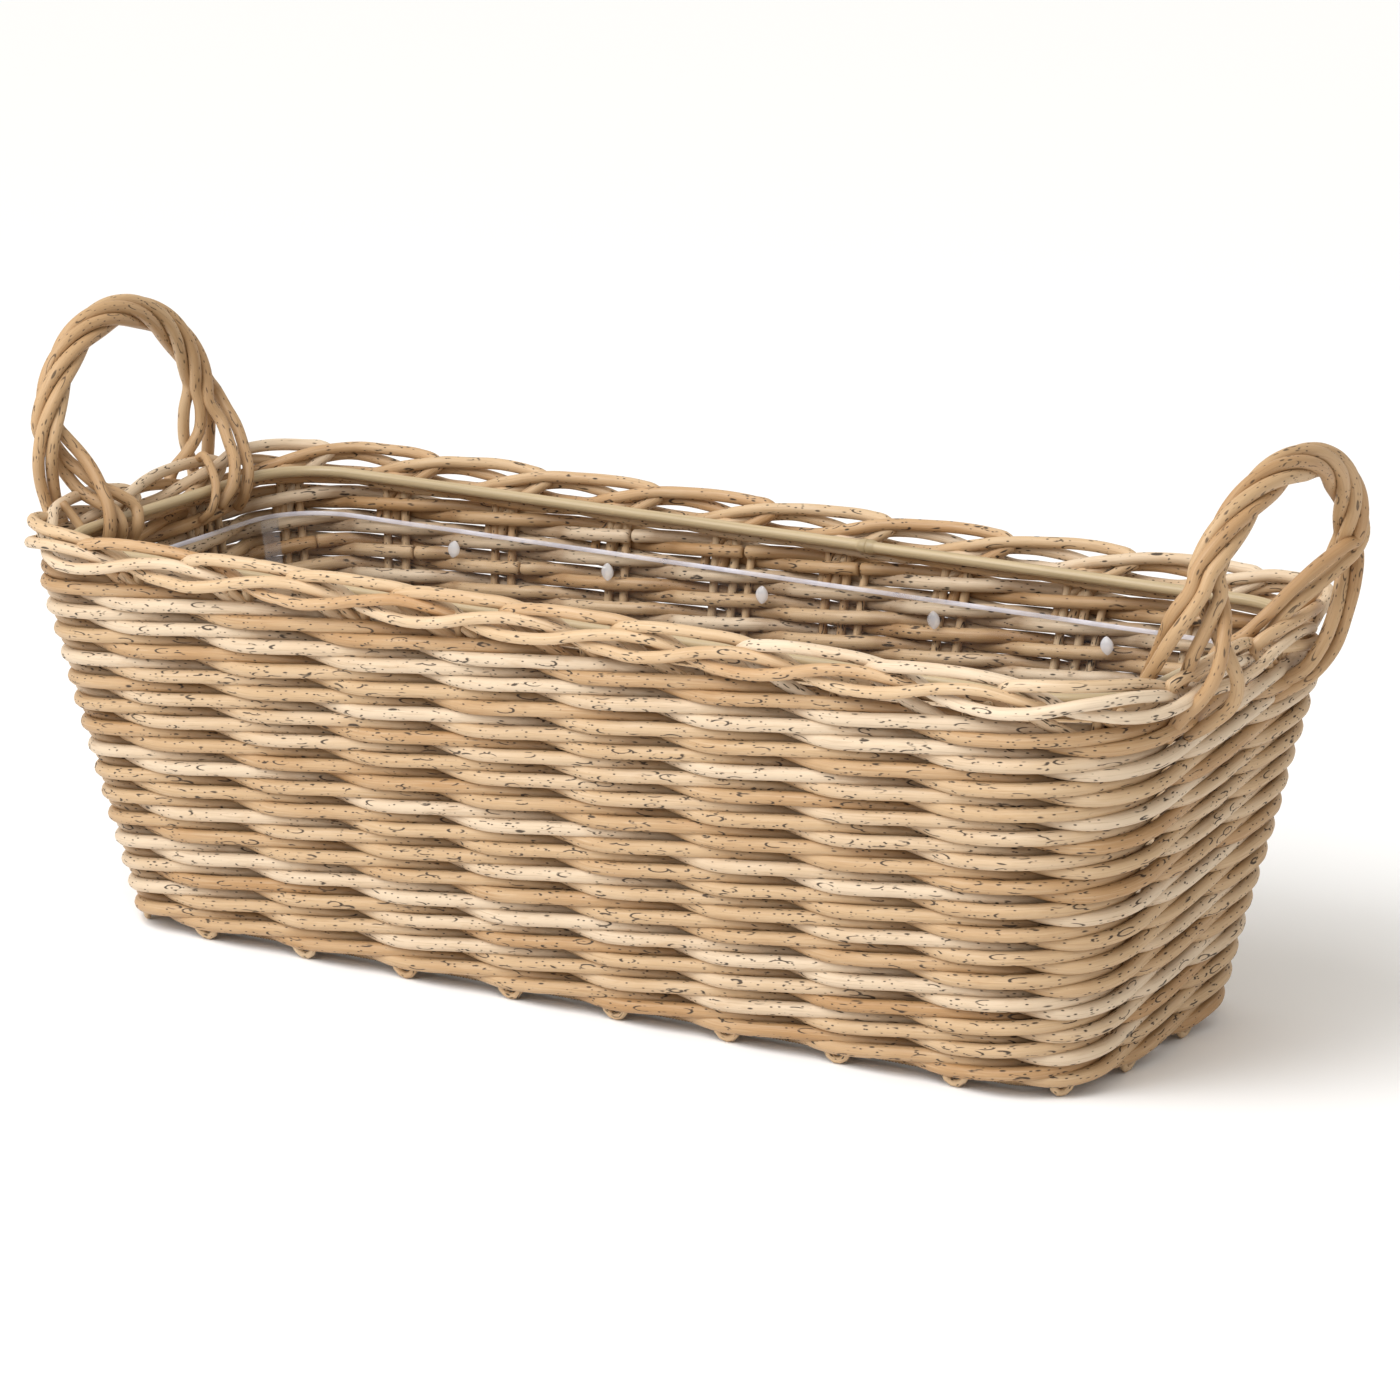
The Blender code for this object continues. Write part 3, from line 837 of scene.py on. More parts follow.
@dataclass
class Stakes:
    """Paired upright sticks and the loops on which the basket stands."""

    wall: Wall
    finish: bpy.types.Material
    radius: float = 1.95 * MM
    loop_radius: float = 1.55 * MM
    leg_spacing: float = 8.6 * MM
    loop_half_width: float = 5.2 * MM
    loop_drop: float = 5.4 * MM
    loop_inset: float = 3.4 * MM
    top_above_weave: float = 8.0 * MM
    step: float = 2.6 * MM
    sides: int = 10
    wander_turn: float = 0.035
    lean: float = 0.035
    middle_share: float = 0.6
    leg_foot: float = 16.0 * MM
    loop_points: int = 9
    sink_height: float = 9.0 * MM
    thin_height: float = 14.0 * MM
    tones: tuple = (0.2, 0.9)
    shade: float = 0.12
    extra_share: float = 0.45
    extra_gap: float = 0.6 * MM
    extra_lean: float = 0.06
    extra_foot: float = 12.0 * MM
    extra_top: float = 1.0 * MM
    extra_points: int = 6
    extra_thinning: float = 0.9
    extra_shade: float = 0.15
    seed: int = 4100

    def build(self) -> None:
        """Make one object for each hairpin."""
        for index in range(self.wall.stakes):
            rng = np.random.default_rng(self.seed + index)
            rods = RodMesh(self.sides)
            turn = index + 0.5 + rng.uniform(-1, 1) * self.wander_turn
            self._hairpin(rods, turn, rng)
            if rng.uniform() < self.extra_share:
                self._extra(rods, turn, rng)
            name = f"stake_{index + 1:02d}"
            hand_over(rods.build(f"peeled_{name}", self.finish), "stake_cane", name)

    def _hairpin(self, rods: RodMesh, turn: float, rng: np.random.Generator) -> None:
        """Add two legs and the loop between them.

        Formula: each leg leans by a random part of a space at its top, and by
        half of that in its middle; the loop is half an ellipse under them,
        further out than they are, and the rod thins towards it.

        Args:
            rods: the mesh to add to.
            turn: the middle of the pair.
            rng: the seeded source of its leans.
        """
        wall = self.wall
        half = self.leg_spacing / 2 / wall.space
        loop = self.loop_half_width / wall.space
        top = wall.top + self.top_above_weave
        bend = self.loop_radius + self.loop_drop
        lean_left, lean_right = rng.uniform(-self.lean, self.lean, 2)
        angle = np.linspace(math.pi, 2 * math.pi, self.loop_points)
        left_levels = np.array([top, wall.top * self.middle_share, self.leg_foot])
        turns = np.concatenate((turn - half + np.array([lean_left, lean_left * 0.5, 0.0]),
                                turn + loop * np.cos(angle),
                                turn + half + np.array([0.0, lean_right * 0.5, lean_right])))
        levels = np.concatenate((left_levels, bend + self.loop_drop * np.sin(angle), left_levels[::-1]))
        inwards = np.clip((levels - bend) / self.sink_height, 0.0, 1.0)
        insets = self.loop_inset + (wall.stake_inset - self.loop_inset) * inwards
        path = smooth_route(wall.place(turns, insets, levels), self.step)
        full = np.clip((path[:, 2] - bend) / self.thin_height, 0.0, 1.0)
        size = self.loop_radius + (self.radius - self.loop_radius) * full
        guide = np.broadcast_to(wall.outward(np.array([turn])), path.shape)
        rods.add(path, size, guide, rng.uniform(*self.tones), rng.uniform(0, LAY_RANGE), self.shade)

    def _extra(self, rods: RodMesh, turn: float, rng: np.random.Generator) -> None:
        """Add a third stick pushed in beside the pair.

        Formula: a straight run up the wall that leans away from the pair.

        Args:
            rods: the mesh to add to.
            turn: the middle of the pair.
            rng: the seeded source of its side and lean.
        """
        wall = self.wall
        side = rng.choice((-1.0, 1.0))
        start = turn + side * (self.leg_spacing + self.extra_gap) / wall.space
        end = start + side * rng.uniform(0.0, self.extra_lean)
        turns = np.linspace(start, end, self.extra_points)
        levels = np.linspace(self.extra_foot, wall.top + self.extra_top, self.extra_points)
        path = smooth_route(wall.place(turns, wall.stake_inset, levels), self.step)
        guide = np.broadcast_to(wall.outward(np.array([turn])), path.shape)
        rods.add(path, self.radius * self.extra_thinning, guide, rng.uniform(*self.tones),
                 rng.uniform(0, LAY_RANGE), self.extra_shade)


@dataclass
class WaleCourses:
    """The woven wall: three weavers to a course, over two stakes and behind one.

    stitch_outs and stitch_rises are in mm, at the turns of stitch_knots, and
    stitch_middle is the height of a stitch's middle among them.
    """

    wall: Wall
    finish: bpy.types.Material
    weavers: int = 3
    step: float = 2.8 * MM
    sides: int = 12
    seam_turns: tuple = (12.0, 15.0, 9.0, 18.0)
    stitch_knots: tuple = (0.0, 0.12, 0.28, 0.45, 0.72, 1.0, 1.22, 1.44, 1.68, 1.92, 2.14, 2.36, 2.56, 2.8)
    stitch_outs: tuple = (0.6, 2.2, 4.6, 6.4, 7.3, 6.9, 6.0, 4.8, 3.4, 1.6, -1.6, -4.0, -4.6, -2.8)
    stitch_rises: tuple = (1.1, 0.4, -0.2, -0.4, 0.9, 2.8, 3.9, 4.9, 5.5, 5.6, 5.4, 4.6, 3.8, 2.4)
    stitch_middle: float = 2.6
    seam_offset: float = 2.3
    seam_gap: float = 1.2 * MM
    low_squash: float = 0.8
    top_lift: float = 1.9 * MM
    level_drift: float = 0.16 * MM
    level_wave: float = 0.31
    side_drift: float = 0.2 * MM
    side_wave: float = 0.17
    uneven: Uneven = Uneven((-0.03, 0.04), 0.03, 0.4)
    # Painted shade on a weaver: from tuck_out inwards, over tuck_fade, and gone again inner_out inside,
    # over inner_fade.
    tuck_out: float = 6.2 * MM
    tuck_fade: float = 4.0 * MM
    inner_out: float = 3.4 * MM
    inner_fade: float = 2.8 * MM
    seed: int = 700

    def build(self) -> None:
        """Make one object for each course, from the ground up."""
        for index in range(self.wall.course_count):
            rods = RodMesh(self.sides)
            for strand in range(self.weavers):
                self._weaver(rods, index, strand)
            name = f"wale_course_{index + 1:02d}"
            hand_over(rods.build(f"woven_{name}", self.finish), "wall_cane", name)

    def _weaver(self, rods: RodMesh, index: int, strand: int) -> None:
        """Add one weaver, once round the wall.

        Formula: the rod repeats one stitch, read at the turn less the
        strand's number, every 3 spaces. It comes out between two stakes, lies
        outside the next two while it climbs, and drops back inside the third.
        The lowest course is squashed a little, and the upper ones are lifted
        by a share that grows as the square of their number. Shade is painted
        on the rod where it passes between the outside and the inside.

        Args:
            rods: the mesh to add to.
            index: the course, from the ground.
            strand: which of the three weavers.
        """
        wall = self.wall
        rng = np.random.default_rng(self.seed + index * self.weavers + strand)
        seam = self.seam_turns[index % len(self.seam_turns)] + self.seam_offset + strand
        gap = self.seam_gap / wall.space
        length = wall.round_length
        count = int(length / self.step)
        turn = np.linspace(seam + gap, seam + wall.stakes - gap, count)
        along = np.linspace(0.0, length, count)
        knots, stitch, period = np.array(self.stitch_knots), turn - strand, float(self.weavers)
        out = smooth_cycle(stitch, knots, np.array(self.stitch_outs) * MM, period)
        rise = smooth_cycle(stitch, knots, np.array(self.stitch_rises) * MM, period)
        squash = self.low_squash if index == 0 else 1.0
        lift = self.top_lift * (index / (wall.course_count - 1)) ** 2
        middle = wall.first_course + index * wall.course_pitch + lift
        level = middle + (rise - self.stitch_middle * MM) * squash
        level = level + drift(along, rng, self.level_wave) * self.level_drift
        radius = wall.strand / 2 * self.uneven.share(along, rng)
        side = drift(along, rng, self.side_wave) * self.side_drift
        path = wall.place(turn, wall.stake_inset - out - side, level)
        # Painted shade where the weaver passes between the outside and the inside.
        shade = (np.clip((self.tuck_out - out) / self.tuck_fade, 0.0, 1.0)
                 * np.clip((out + self.inner_out) / self.inner_fade, 0.0, 1.0))
        rods.add(path, radius, wall.outward(turn), rng.uniform(0.0, 1.0), rng.uniform(0, LAY_RANGE), shade)


@dataclass
class RolledBorder:
    """The rim: every stake pair's top bent down and rolled over its neighbours.

    The turns are in spaces, and the outs, insets, rises, lifts and jitter in
    mm. guide_rise tips the guide up a little, so that no rod runs along it.
    """

    wall: Wall
    finish: bpy.types.Material
    radius: float = 2.55 * MM
    step: float = 2.2 * MM
    sides: int = 12
    turns: tuple = (0.04, 0.0, -0.14, -0.31, -0.37, -0.31, -0.16, 0.14, 0.36, 0.58, 0.71, 0.9, 1.12,
                    1.28, 1.46, 1.62, 1.86, 2.22, 2.52, 2.71, 2.88, 3.12, 3.4, 3.85, 4.35, 4.65)
    outs: tuple = (0.0, -0.4, -0.6, -0.4, 0.2, 1.4, 2.9, 3.0, 1.6, -0.8, -2.4, -2.4, 1.6,
                   4.4, 6.4, 7.0, 7.4, 6.4, 4.8, 3.4, 1.2, -3.2, -5.2, -5.8, -6.2, -6.2)
    rises: tuple = (-10.0, -2.0, 6.0, 12.0, 14.8, 17.0, 18.9, 20.2, 19.8, 18.6, 17.0, 13.8, 10.0,
                    8.6, 7.7, 7.4, 9.0, 13.6, 15.0, 13.6, 11.0, 8.5, 7.0, 6.5, 7.5, 8.0)
    back_lifts: tuple = (0.0, 0.0, 1.5, 2.0, 2.0, 1.3, 0.3, -0.6, -0.5, 0.0, 0.6, 1.4, 1.4) + (0.0,) * 13
    back_spots: tuple = (6.5, 8.0, 17.0, 18.5)
    front_lean: float = 0.42
    lean_from: float = -3.0
    lean_to: float = 1.5
    lean_end: float = 4.6
    lean_fade: float = 1.5
    jitter: float = 0.3
    taper: tuple = (1.04, 0.92)
    uneven: Uneven = Uneven((-0.05, 0.05), 0.03, 0.2)
    # Painted shade on a rod: where it lies in past tuck_out, over tuck_fade, and below low_rise over the
    # top, over low_fade.
    tuck_out: float = 1.5 * MM
    tuck_fade: float = 6.0 * MM
    low_rise: float = 12.0 * MM
    low_fade: float = 9.0 * MM
    guide_rise: float = 0.001
    tail_turns: tuple = (-0.06, 0.06, 0.14, 0.16)
    tail_insets: tuple = (0.2, 0.4, 1.2, 1.8)
    tail_rises: tuple = (6.0, 1.0, -3.5, -10.0)
    tail_spread: float = 0.02
    tail_radius: float = 2.0 * MM
    tail_tones: tuple = (0.2, 1.0)
    tail_shade: float = 0.55
    seed: int = 2500

    def build(self) -> None:
        """Make one object for each of the border's rods, with its tail."""
        nodes = ("border_outer_low", "border_outer_high", "border_crest", "border_inner")
        for index in range(self.wall.stakes):
            rng = np.random.default_rng(self.seed + index)
            rods = RodMesh(self.sides)
            self._rod(rods, index + 0.5, rng)
            self._tail(rods, index + 0.5, rng)
            piece = rods.build(f"border_rod_{index + 1:02d}", self.finish)
            hand_over(piece, "border_cane", *nodes)

    def _rod(self, rods: RodMesh, start: float, rng: np.random.Generator) -> None:
        """Add one rod, from its own stake to where it ends inside the rim.

        It hooks to the left as it rises, runs along the crest, dives down and
        out under its neighbour, comes up the outside and goes back in.

        Formula: the listed turns, outs and rises, counted from its stake. On
        the right half of the front the rods lean back by part of a space, and
        along the back their arcs are flatter.

        Args:
            rods: the mesh to add to.
            start: the turn of its own stake.
            rng: the seeded source of its small differences.
        """
        wall = self.wall
        count = len(self.turns)
        ahead = (start + wall.stakes / 2) % wall.stakes - wall.stakes / 2
        lean_spots = (self.lean_from, self.lean_to, self.lean_end, self.lean_end + self.lean_fade)
        lean = self.front_lean * np.interp(ahead, lean_spots, (0.0, 1.0, 1.0, 0.0))
        turns = start + np.array(self.turns) - lean * np.clip(np.arange(count) / 2, 0.0, 1.0)
        insets = wall.border_inset - np.array(self.outs) * MM
        flat = np.interp(start, self.back_spots, (0.0, 1.0, 1.0, 0.0))
        levels = wall.top + (np.array(self.rises) + flat * np.array(self.back_lifts)
                             + rng.uniform(-self.jitter, self.jitter, count)) * MM
        turn, inset, path = wall.run(turns, insets, levels, self.step)
        along = np.arange(len(path)) * self.step
        taper = np.interp(along, (0.0, along[-1]), self.taper)
        size = self.radius * taper * self.uneven.share(along, rng)
        out = wall.border_inset - inset
        # Painted shade where the rod lies in from the outside and below the crest.
        tucked = np.clip((self.tuck_out - out) / self.tuck_fade, 0.0, 1.0)
        low = np.clip((wall.top + self.low_rise - path[:, 2]) / self.low_fade, 0.0, 1.0)
        guide = wall.outward(turn) + np.array([0.0, 0.0, self.guide_rise])
        rods.add(path, size, guide, rng.uniform(0.0, 1.0), rng.uniform(0, LAY_RANGE), tucked * low)

    def _tail(self, rods: RodMesh, start: float, rng: np.random.Generator) -> None:
        """Add the cut tail that slants down behind the border into the weave.

        Formula: the listed tail_turns, tail_insets and tail_rises.

        Args:
            rods: the mesh to add to.
            start: the turn of its own stake.
            rng: the seeded source of its small differences.
        """
        wall = self.wall
        turns = start + np.array(self.tail_turns) + rng.uniform(-self.tail_spread, self.tail_spread)
        insets = wall.border_inset + np.array(self.tail_insets) * MM
        levels = wall.top + np.array(self.tail_rises) * MM
        turn, _, path = wall.run(turns, insets, levels, self.step)
        # The tail behind the border gets painted shade all along it.
        rods.add(path, self.tail_radius, wall.outward(turn), rng.uniform(*self.tail_tones),
                 rng.uniform(0, LAY_RANGE), self.tail_shade)


@dataclass
class Hoop:
    """The smooth stiffening hoop, with the joint that closes it."""

    wall: Wall
    finish: bpy.types.Material
    radius: float = 2.4 * MM
    inset: float = 18.65 * MM
    step: float = 3.0 * MM
    sides: int = 14
    joint_turn: float = 11.2
    collar_length: float = 7.0 * MM
    collar_height: float = 0.75 * MM
    collar_power: int = 4
    joint_gap: float = 0.3 * MM
    joint_steps: tuple = (0.4, 1.2, 2.2, 3.0, 3.8, 4.6)
    tone: float = 0.5

    def build(self) -> None:
        """Make the hoop in one piece, swollen at its joint.

        Formula: the radius grows by collar_height times what is left of one
        less the fourth power of the distance from the joint over half the
        collar's length. More stations, joint_steps mm from each end, lie
        close to the joint.
        """
        wall = self.wall
        low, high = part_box("rim_hoop")
        level = (low.z + high.z) / 2
        count = int(wall.round_length / self.step)
        gap = self.joint_gap / wall.space
        turn = np.linspace(self.joint_turn + gap, self.joint_turn + wall.stakes - gap, count)
        extra = np.array(self.joint_steps) * MM
        near = turn[0] + extra / wall.space
        far = turn[-1] - extra[::-1] / wall.space
        turn = np.sort(np.concatenate((turn, near, far)))
        along = (turn - turn[0]) * wall.space
        away = np.minimum(along, along[-1] - along)
        near_joint = np.clip(1.0 - (away / (self.collar_length / 2)) ** self.collar_power, 0.0, 1.0)
        swell = self.collar_height * near_joint
        path = wall.place(turn, self.inset, level)
        rods = RodMesh(self.sides)
        rods.add(path, self.radius + swell, wall.outward(turn), self.tone, 0.0, near_joint)
        hand_over(rods.build("stiffening_hoop", self.finish), "hoop_rod", "rim_hoop")


@dataclass
class BoundRing:
    """The ring under the wall, bound all round with fine split cane."""

    wall: Wall
    finish: bpy.types.Material
    core: float = 2.35 * MM
    wrap_height: float = 0.42 * MM
    wrap_pitch: float = 1.55 * MM
    rings_per_wrap: int = 5
    wrap_roundness: float = 0.6
    groove_shade: float = 0.35
    tone: float = 0.75
    sides: int = 10

    def build(self) -> None:
        """Make the ring.

        Formula: the radius is the core plus the binding's height times a
        rounded wave along the ring, one wave to each turn of the binding.
        Shade is painted into the grooves between the turns.
        """
        wall = self.wall
        low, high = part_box("base_ring")
        level = (low.z + high.z) / 2
        inset = wall.end_reach(0.0, level) - high.x + self.core
        count = int(wall.round_length / self.wrap_pitch) * self.rings_per_wrap
        turn = np.linspace(0.0, wall.stakes, count, endpoint=False)
        rods = RodMesh(self.sides)
        path = wall.place(turn, inset, level)
        phase = np.arange(count) / self.rings_per_wrap
        wave = np.abs(np.sin(math.pi * phase)) ** self.wrap_roundness
        size = self.core + self.wrap_height * (wave - 0.5)
        # Painted shade in the grooves between the turns of the binding.
        rods.add(path, size, wall.outward(turn), self.tone, 0.0, self.groove_shade * (1.0 - wave))
        hand_over(rods.build("bound_base_ring", self.finish), "base_ring_binding", "base_ring")


@dataclass
class LaidFloor:
    """Crosswise rods side by side on three runners, held by small lashings."""

    finish: bpy.types.Material
    rod_pitch: float = 4.8 * MM
    rod_slack: float = 0.12 * MM
    corner: float = 22.0 * MM
    rod_drift: float = 0.1 * MM
    rod_wave: float = 0.2
    rod_uneven: float = 0.03
    rod_uneven_wave: float = 0.1
    rod_tones: tuple = (0.1, 0.9)
    rod_shade: float = 0.1
    rod_seed: int = 900
    runner_drift: float = 0.3 * MM
    runner_wave: float = 0.4
    runner_uneven: float = 0.04
    runner_uneven_wave: float = 0.2
    runner_tones: tuple = (0.2, 0.9)
    runner_shade: float = 0.2
    lash_radius: float = 0.6 * MM
    lash_every: int = 3
    lash_room: float = 3.0
    lash_points: int = 7
    lash_start: float = -0.15 * math.pi
    lash_end: float = -0.85 * math.pi
    lash_tone: float = 0.8
    lash_shade: float = 0.3
    lash_sides: int = 6
    sides: int = 10
    step: float = 6.0 * MM

    def build(self) -> None:
        """Make the runners, then the rods and their lashings."""
        low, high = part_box("floor_panel")
        spots = []
        for side in ("front", "middle", "back"):
            name = f"floor_runner_{side}"
            spots.append(self._runner(name))
        self._rods(low, high, spots)

    def _runner(self, name: str) -> tuple[float, float, float]:
        """Add one lengthwise runner where its solid lies.

        Formula: a straight run along X with a slow wander across.

        Args:
            name: the solid's name.

        Returns:
            The runner's place across, its level and its radius.
        """
        low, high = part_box(name)
        rng = np.random.default_rng(len(name))
        radius, level, across = (high.z - low.z) / 2, (low.z + high.z) / 2, (low.y + high.y) / 2
        x = np.arange(low.x + radius, high.x - radius, self.step)
        y = np.full_like(x, across) + drift(x, rng, self.runner_wave) * self.runner_drift
        path = np.stack((x, y, np.full_like(x, level)), axis=-1)
        rods = RodMesh(self.sides)
        guide = np.broadcast_to(np.array([0.0, 0.0, 1.0]), path.shape)
        size = radius * (1.0 + self.runner_uneven * drift(x, rng, self.runner_uneven_wave))
        rods.add(path, size, guide, rng.uniform(*self.runner_tones), 0.0, self.runner_shade)
        hand_over(rods.build(f"peeled_{name}", self.finish), "floor_cane", name)
        return across, level, radius

    def _rods(self, low: Vector, high: Vector, spots: list) -> None:
        """Add the crosswise rods, and a lashing round the runner at every third.

        Formula: a rod reaches to the rounded outline, half a width less the
        part that the corner's arc takes at the rod's place along. A lashing
        is made where the rod reaches lash_room times the runner's radius past
        the runner's middle.

        Args:
            low: the panel's lowest corner.
            high: the panel's highest corner.
            spots: place across, level and radius of each runner.
        """
        rods, lashings = RodMesh(self.sides), RodMesh(self.lash_sides)
        middle, radius = (low.z + high.z) / 2, (high.z - low.z) / 2 - self.rod_slack
        count = round((high.x - low.x) / self.rod_pitch)
        pitch = (high.x - low.x) / count
        for number in range(count):
            rng = np.random.default_rng(self.rod_seed + number)
            x = low.x + (number + 0.5) * pitch
            into = max(abs(x) - (high.x - self.corner), 0.0)
            reach = high.y - self.corner + math.sqrt(max(self.corner**2 - into**2, 0.0)) - radius
            y = np.arange(-reach, reach, self.step)
            wander = np.full_like(y, x) + drift(y, rng, self.rod_wave) * self.rod_drift
            path = np.stack((wander, y, np.full_like(y, middle)), axis=-1)
            guide = np.broadcast_to(np.array([1.0, 0.0, 0.0]), path.shape)
            size = radius * (1.0 + self.rod_uneven * drift(y, rng, self.rod_uneven_wave))
            rods.add(path, size, guide, rng.uniform(*self.rod_tones), rng.uniform(0, LAY_RANGE),
                     self.rod_shade)
            if number % self.lash_every == 0 and 0 < number < count - 1:
                for across, level, runner in spots:
                    if abs(across) + self.lash_room * runner < reach:
                        self._lash(lashings, x + pitch / 2, (across, level, runner), middle)
        hand_over(rods.build("floor_rods", self.finish), "floor_cane", "floor_panel")
        hand_over(lashings.build("floor_lashings", self.finish), "floor_cane")

    def _lash(self, rods: RodMesh, x: float, spot: tuple[float, float, float], middle: float) -> None:
        """Add one staple of split cane under a runner, its ends up between two rods.

        Formula: an arc below the runner, a lashing's radius off it, and a
        straight end up from each side of it.

        Args:
            rods: the mesh to add to.
            x: the place along the basket.
            spot: the runner's place across, its level and its radius.
            middle: the level of the middle of the rods.
        """
        across, level, runner = spot
        angle = np.linspace(self.lash_start, self.lash_end, self.lash_points)
        reach = runner + self.lash_radius
        y = np.concatenate(([across + reach], across + reach * np.cos(angle), [across - reach]))
        z = np.concatenate(([middle], level + reach * np.sin(angle), [middle]))
        path = np.stack((np.full_like(y, x), y, z), axis=-1)
        guide = np.broadcast_to(np.array([1.0, 0.0, 0.0]), path.shape)
        rods.add(path, self.lash_radius, guide, self.lash_tone, 0.0, self.lash_shade)


@dataclass(frozen=True)
class Foot:
    """Where one strand goes between the rope's end and its own cut end, in mm.

    Each tuple runs down from the rope: how far out past the top of the weave,
    the place along Y, and the height above the top of the weave. All of them
    are given in the frame of the right handle.
    """

    reach: tuple
    across: tuple
    rise: tuple


RIGHT_NEAR = (
    Foot((8, 4, -4, -11, -19, -22, -17), (-61, -63, -64, -62, -58, -57, -56), (53, 45, 33, 22, 10, 3, -4)),
    Foot((3, -3, -11, -17, -22, -23, -18), (-62, -63, -57, -53, -48, -47, -46),
         (53, 44, 30, 19, 11, 3, -4)),
    Foot((3, 7, 13, 14, 11, 3, -5), (-52, -48, -47, -43, -41, -44, -47), (45, 34, 23, 14, 5, -3, -8)),
    Foot((7, 11, 14, 12, 6, -1, -6), (-48.5, -50, -56, -58, -58, -60, -62), (52, 43, 34, 20, 10, 2, -6)),
    Foot((11, 9, 2, -6, -13, -16), (-53, -55.5, -56, -52, -52, -54), (52, 43, 27, 13, 8, 2)))
RIGHT_FAR = (
    Foot((14, 10, 4, -1, -7, -17, -22, -18), (59, 52, 40, 28, 23, 21, 19, 17),
         (45, 39, 31, 24, 15, 11, 4, -4)),
    Foot((12, 13, 12, 9, 4, -2, -7), (65, 61, 57, 52, 45, 36, 28), (41, 31, 20, 6, -3, -8, -11)),
    Foot((4, 0, -5, -13, -21, -22, -17), (61, 60, 60, 58, 56, 55, 54), (44, 33, 24, 16, 9, 2, -4)),
    Foot((8, 9, 9, 7, 3, -4), (61, 56, 50, 44, 38, 32), (39, 28, 18, 8, 0, -5)),
    Foot((13, 8, 1, -5, -13, -21, -22, -18), (51, 43, 32, 22, 18, 9, 6, 4), (48, 43, 34, 25, 16, 9, 3, -4)))
LEFT_FAR = (
    Foot((10, 10, 10, 9, 2, -5), (-61, -64, -63, -61, -60, -58), (44, 32, 22, 13, 1, -7)),
    Foot((5, 0, -7, -14, -22, -22, -18), (-63, -63, -61, -57, -49, -46, -46), (47, 40, 33, 24, 15, 6, 0)),
    Foot((1, -4, -11, -20, -23, -21), (-52, -54, -50, -42, -35, -29), (45, 36, 28, 20, 11, 4)),
    Foot((4, 4, 5, 7, 4, -5), (-50, -49, -41, -32, -26, -22), (41, 32, 23, 15, 4, -5)),
    Foot((10, 11, 11, 4, -5), (-46, -47, -52, -47, -48), (40, 27, 15, 2, -7)))
LEFT_NEAR = (
    Foot((11, 7, -1, -10, -18, -23, -19), (50, 44, 42, 41, 42, 43, 41), (42, 31, 22, 18, 16, 11, 0)),
    Foot((7, 9, 9, 4, -5), (60, 57, 53, 53, 56), (40, 28, 17, 5, -5)),
    Foot((3, 7, 9, 4, -5), (56, 51, 46, 46, 47), (41, 28, 15, 4, -5)),
    Foot((2, -2, -9, -16, -21, -23, -18), (47, 45, 45, 47, 49, 51, 49), (46, 41, 34, 26, 19, 11, -1)),
    Foot((10, 6, -1, -8, -16, -22, -24, -19), (45, 43, 42, 39, 35, 31, 33, 33),
         (42, 36, 31, 25, 21, 15, 10, -1)))
CORNER_STUB = Foot((-5, -11, -17, -20), (60, 58, 56, 54), (21, 13, 3, -4))
HOOP_LOOP = Foot((4, -5, -14, -21.5, -22.5, -17), (-42, -39, -32, -26, -21, -21), (16, 23, 20.5, 13, 4, -1))


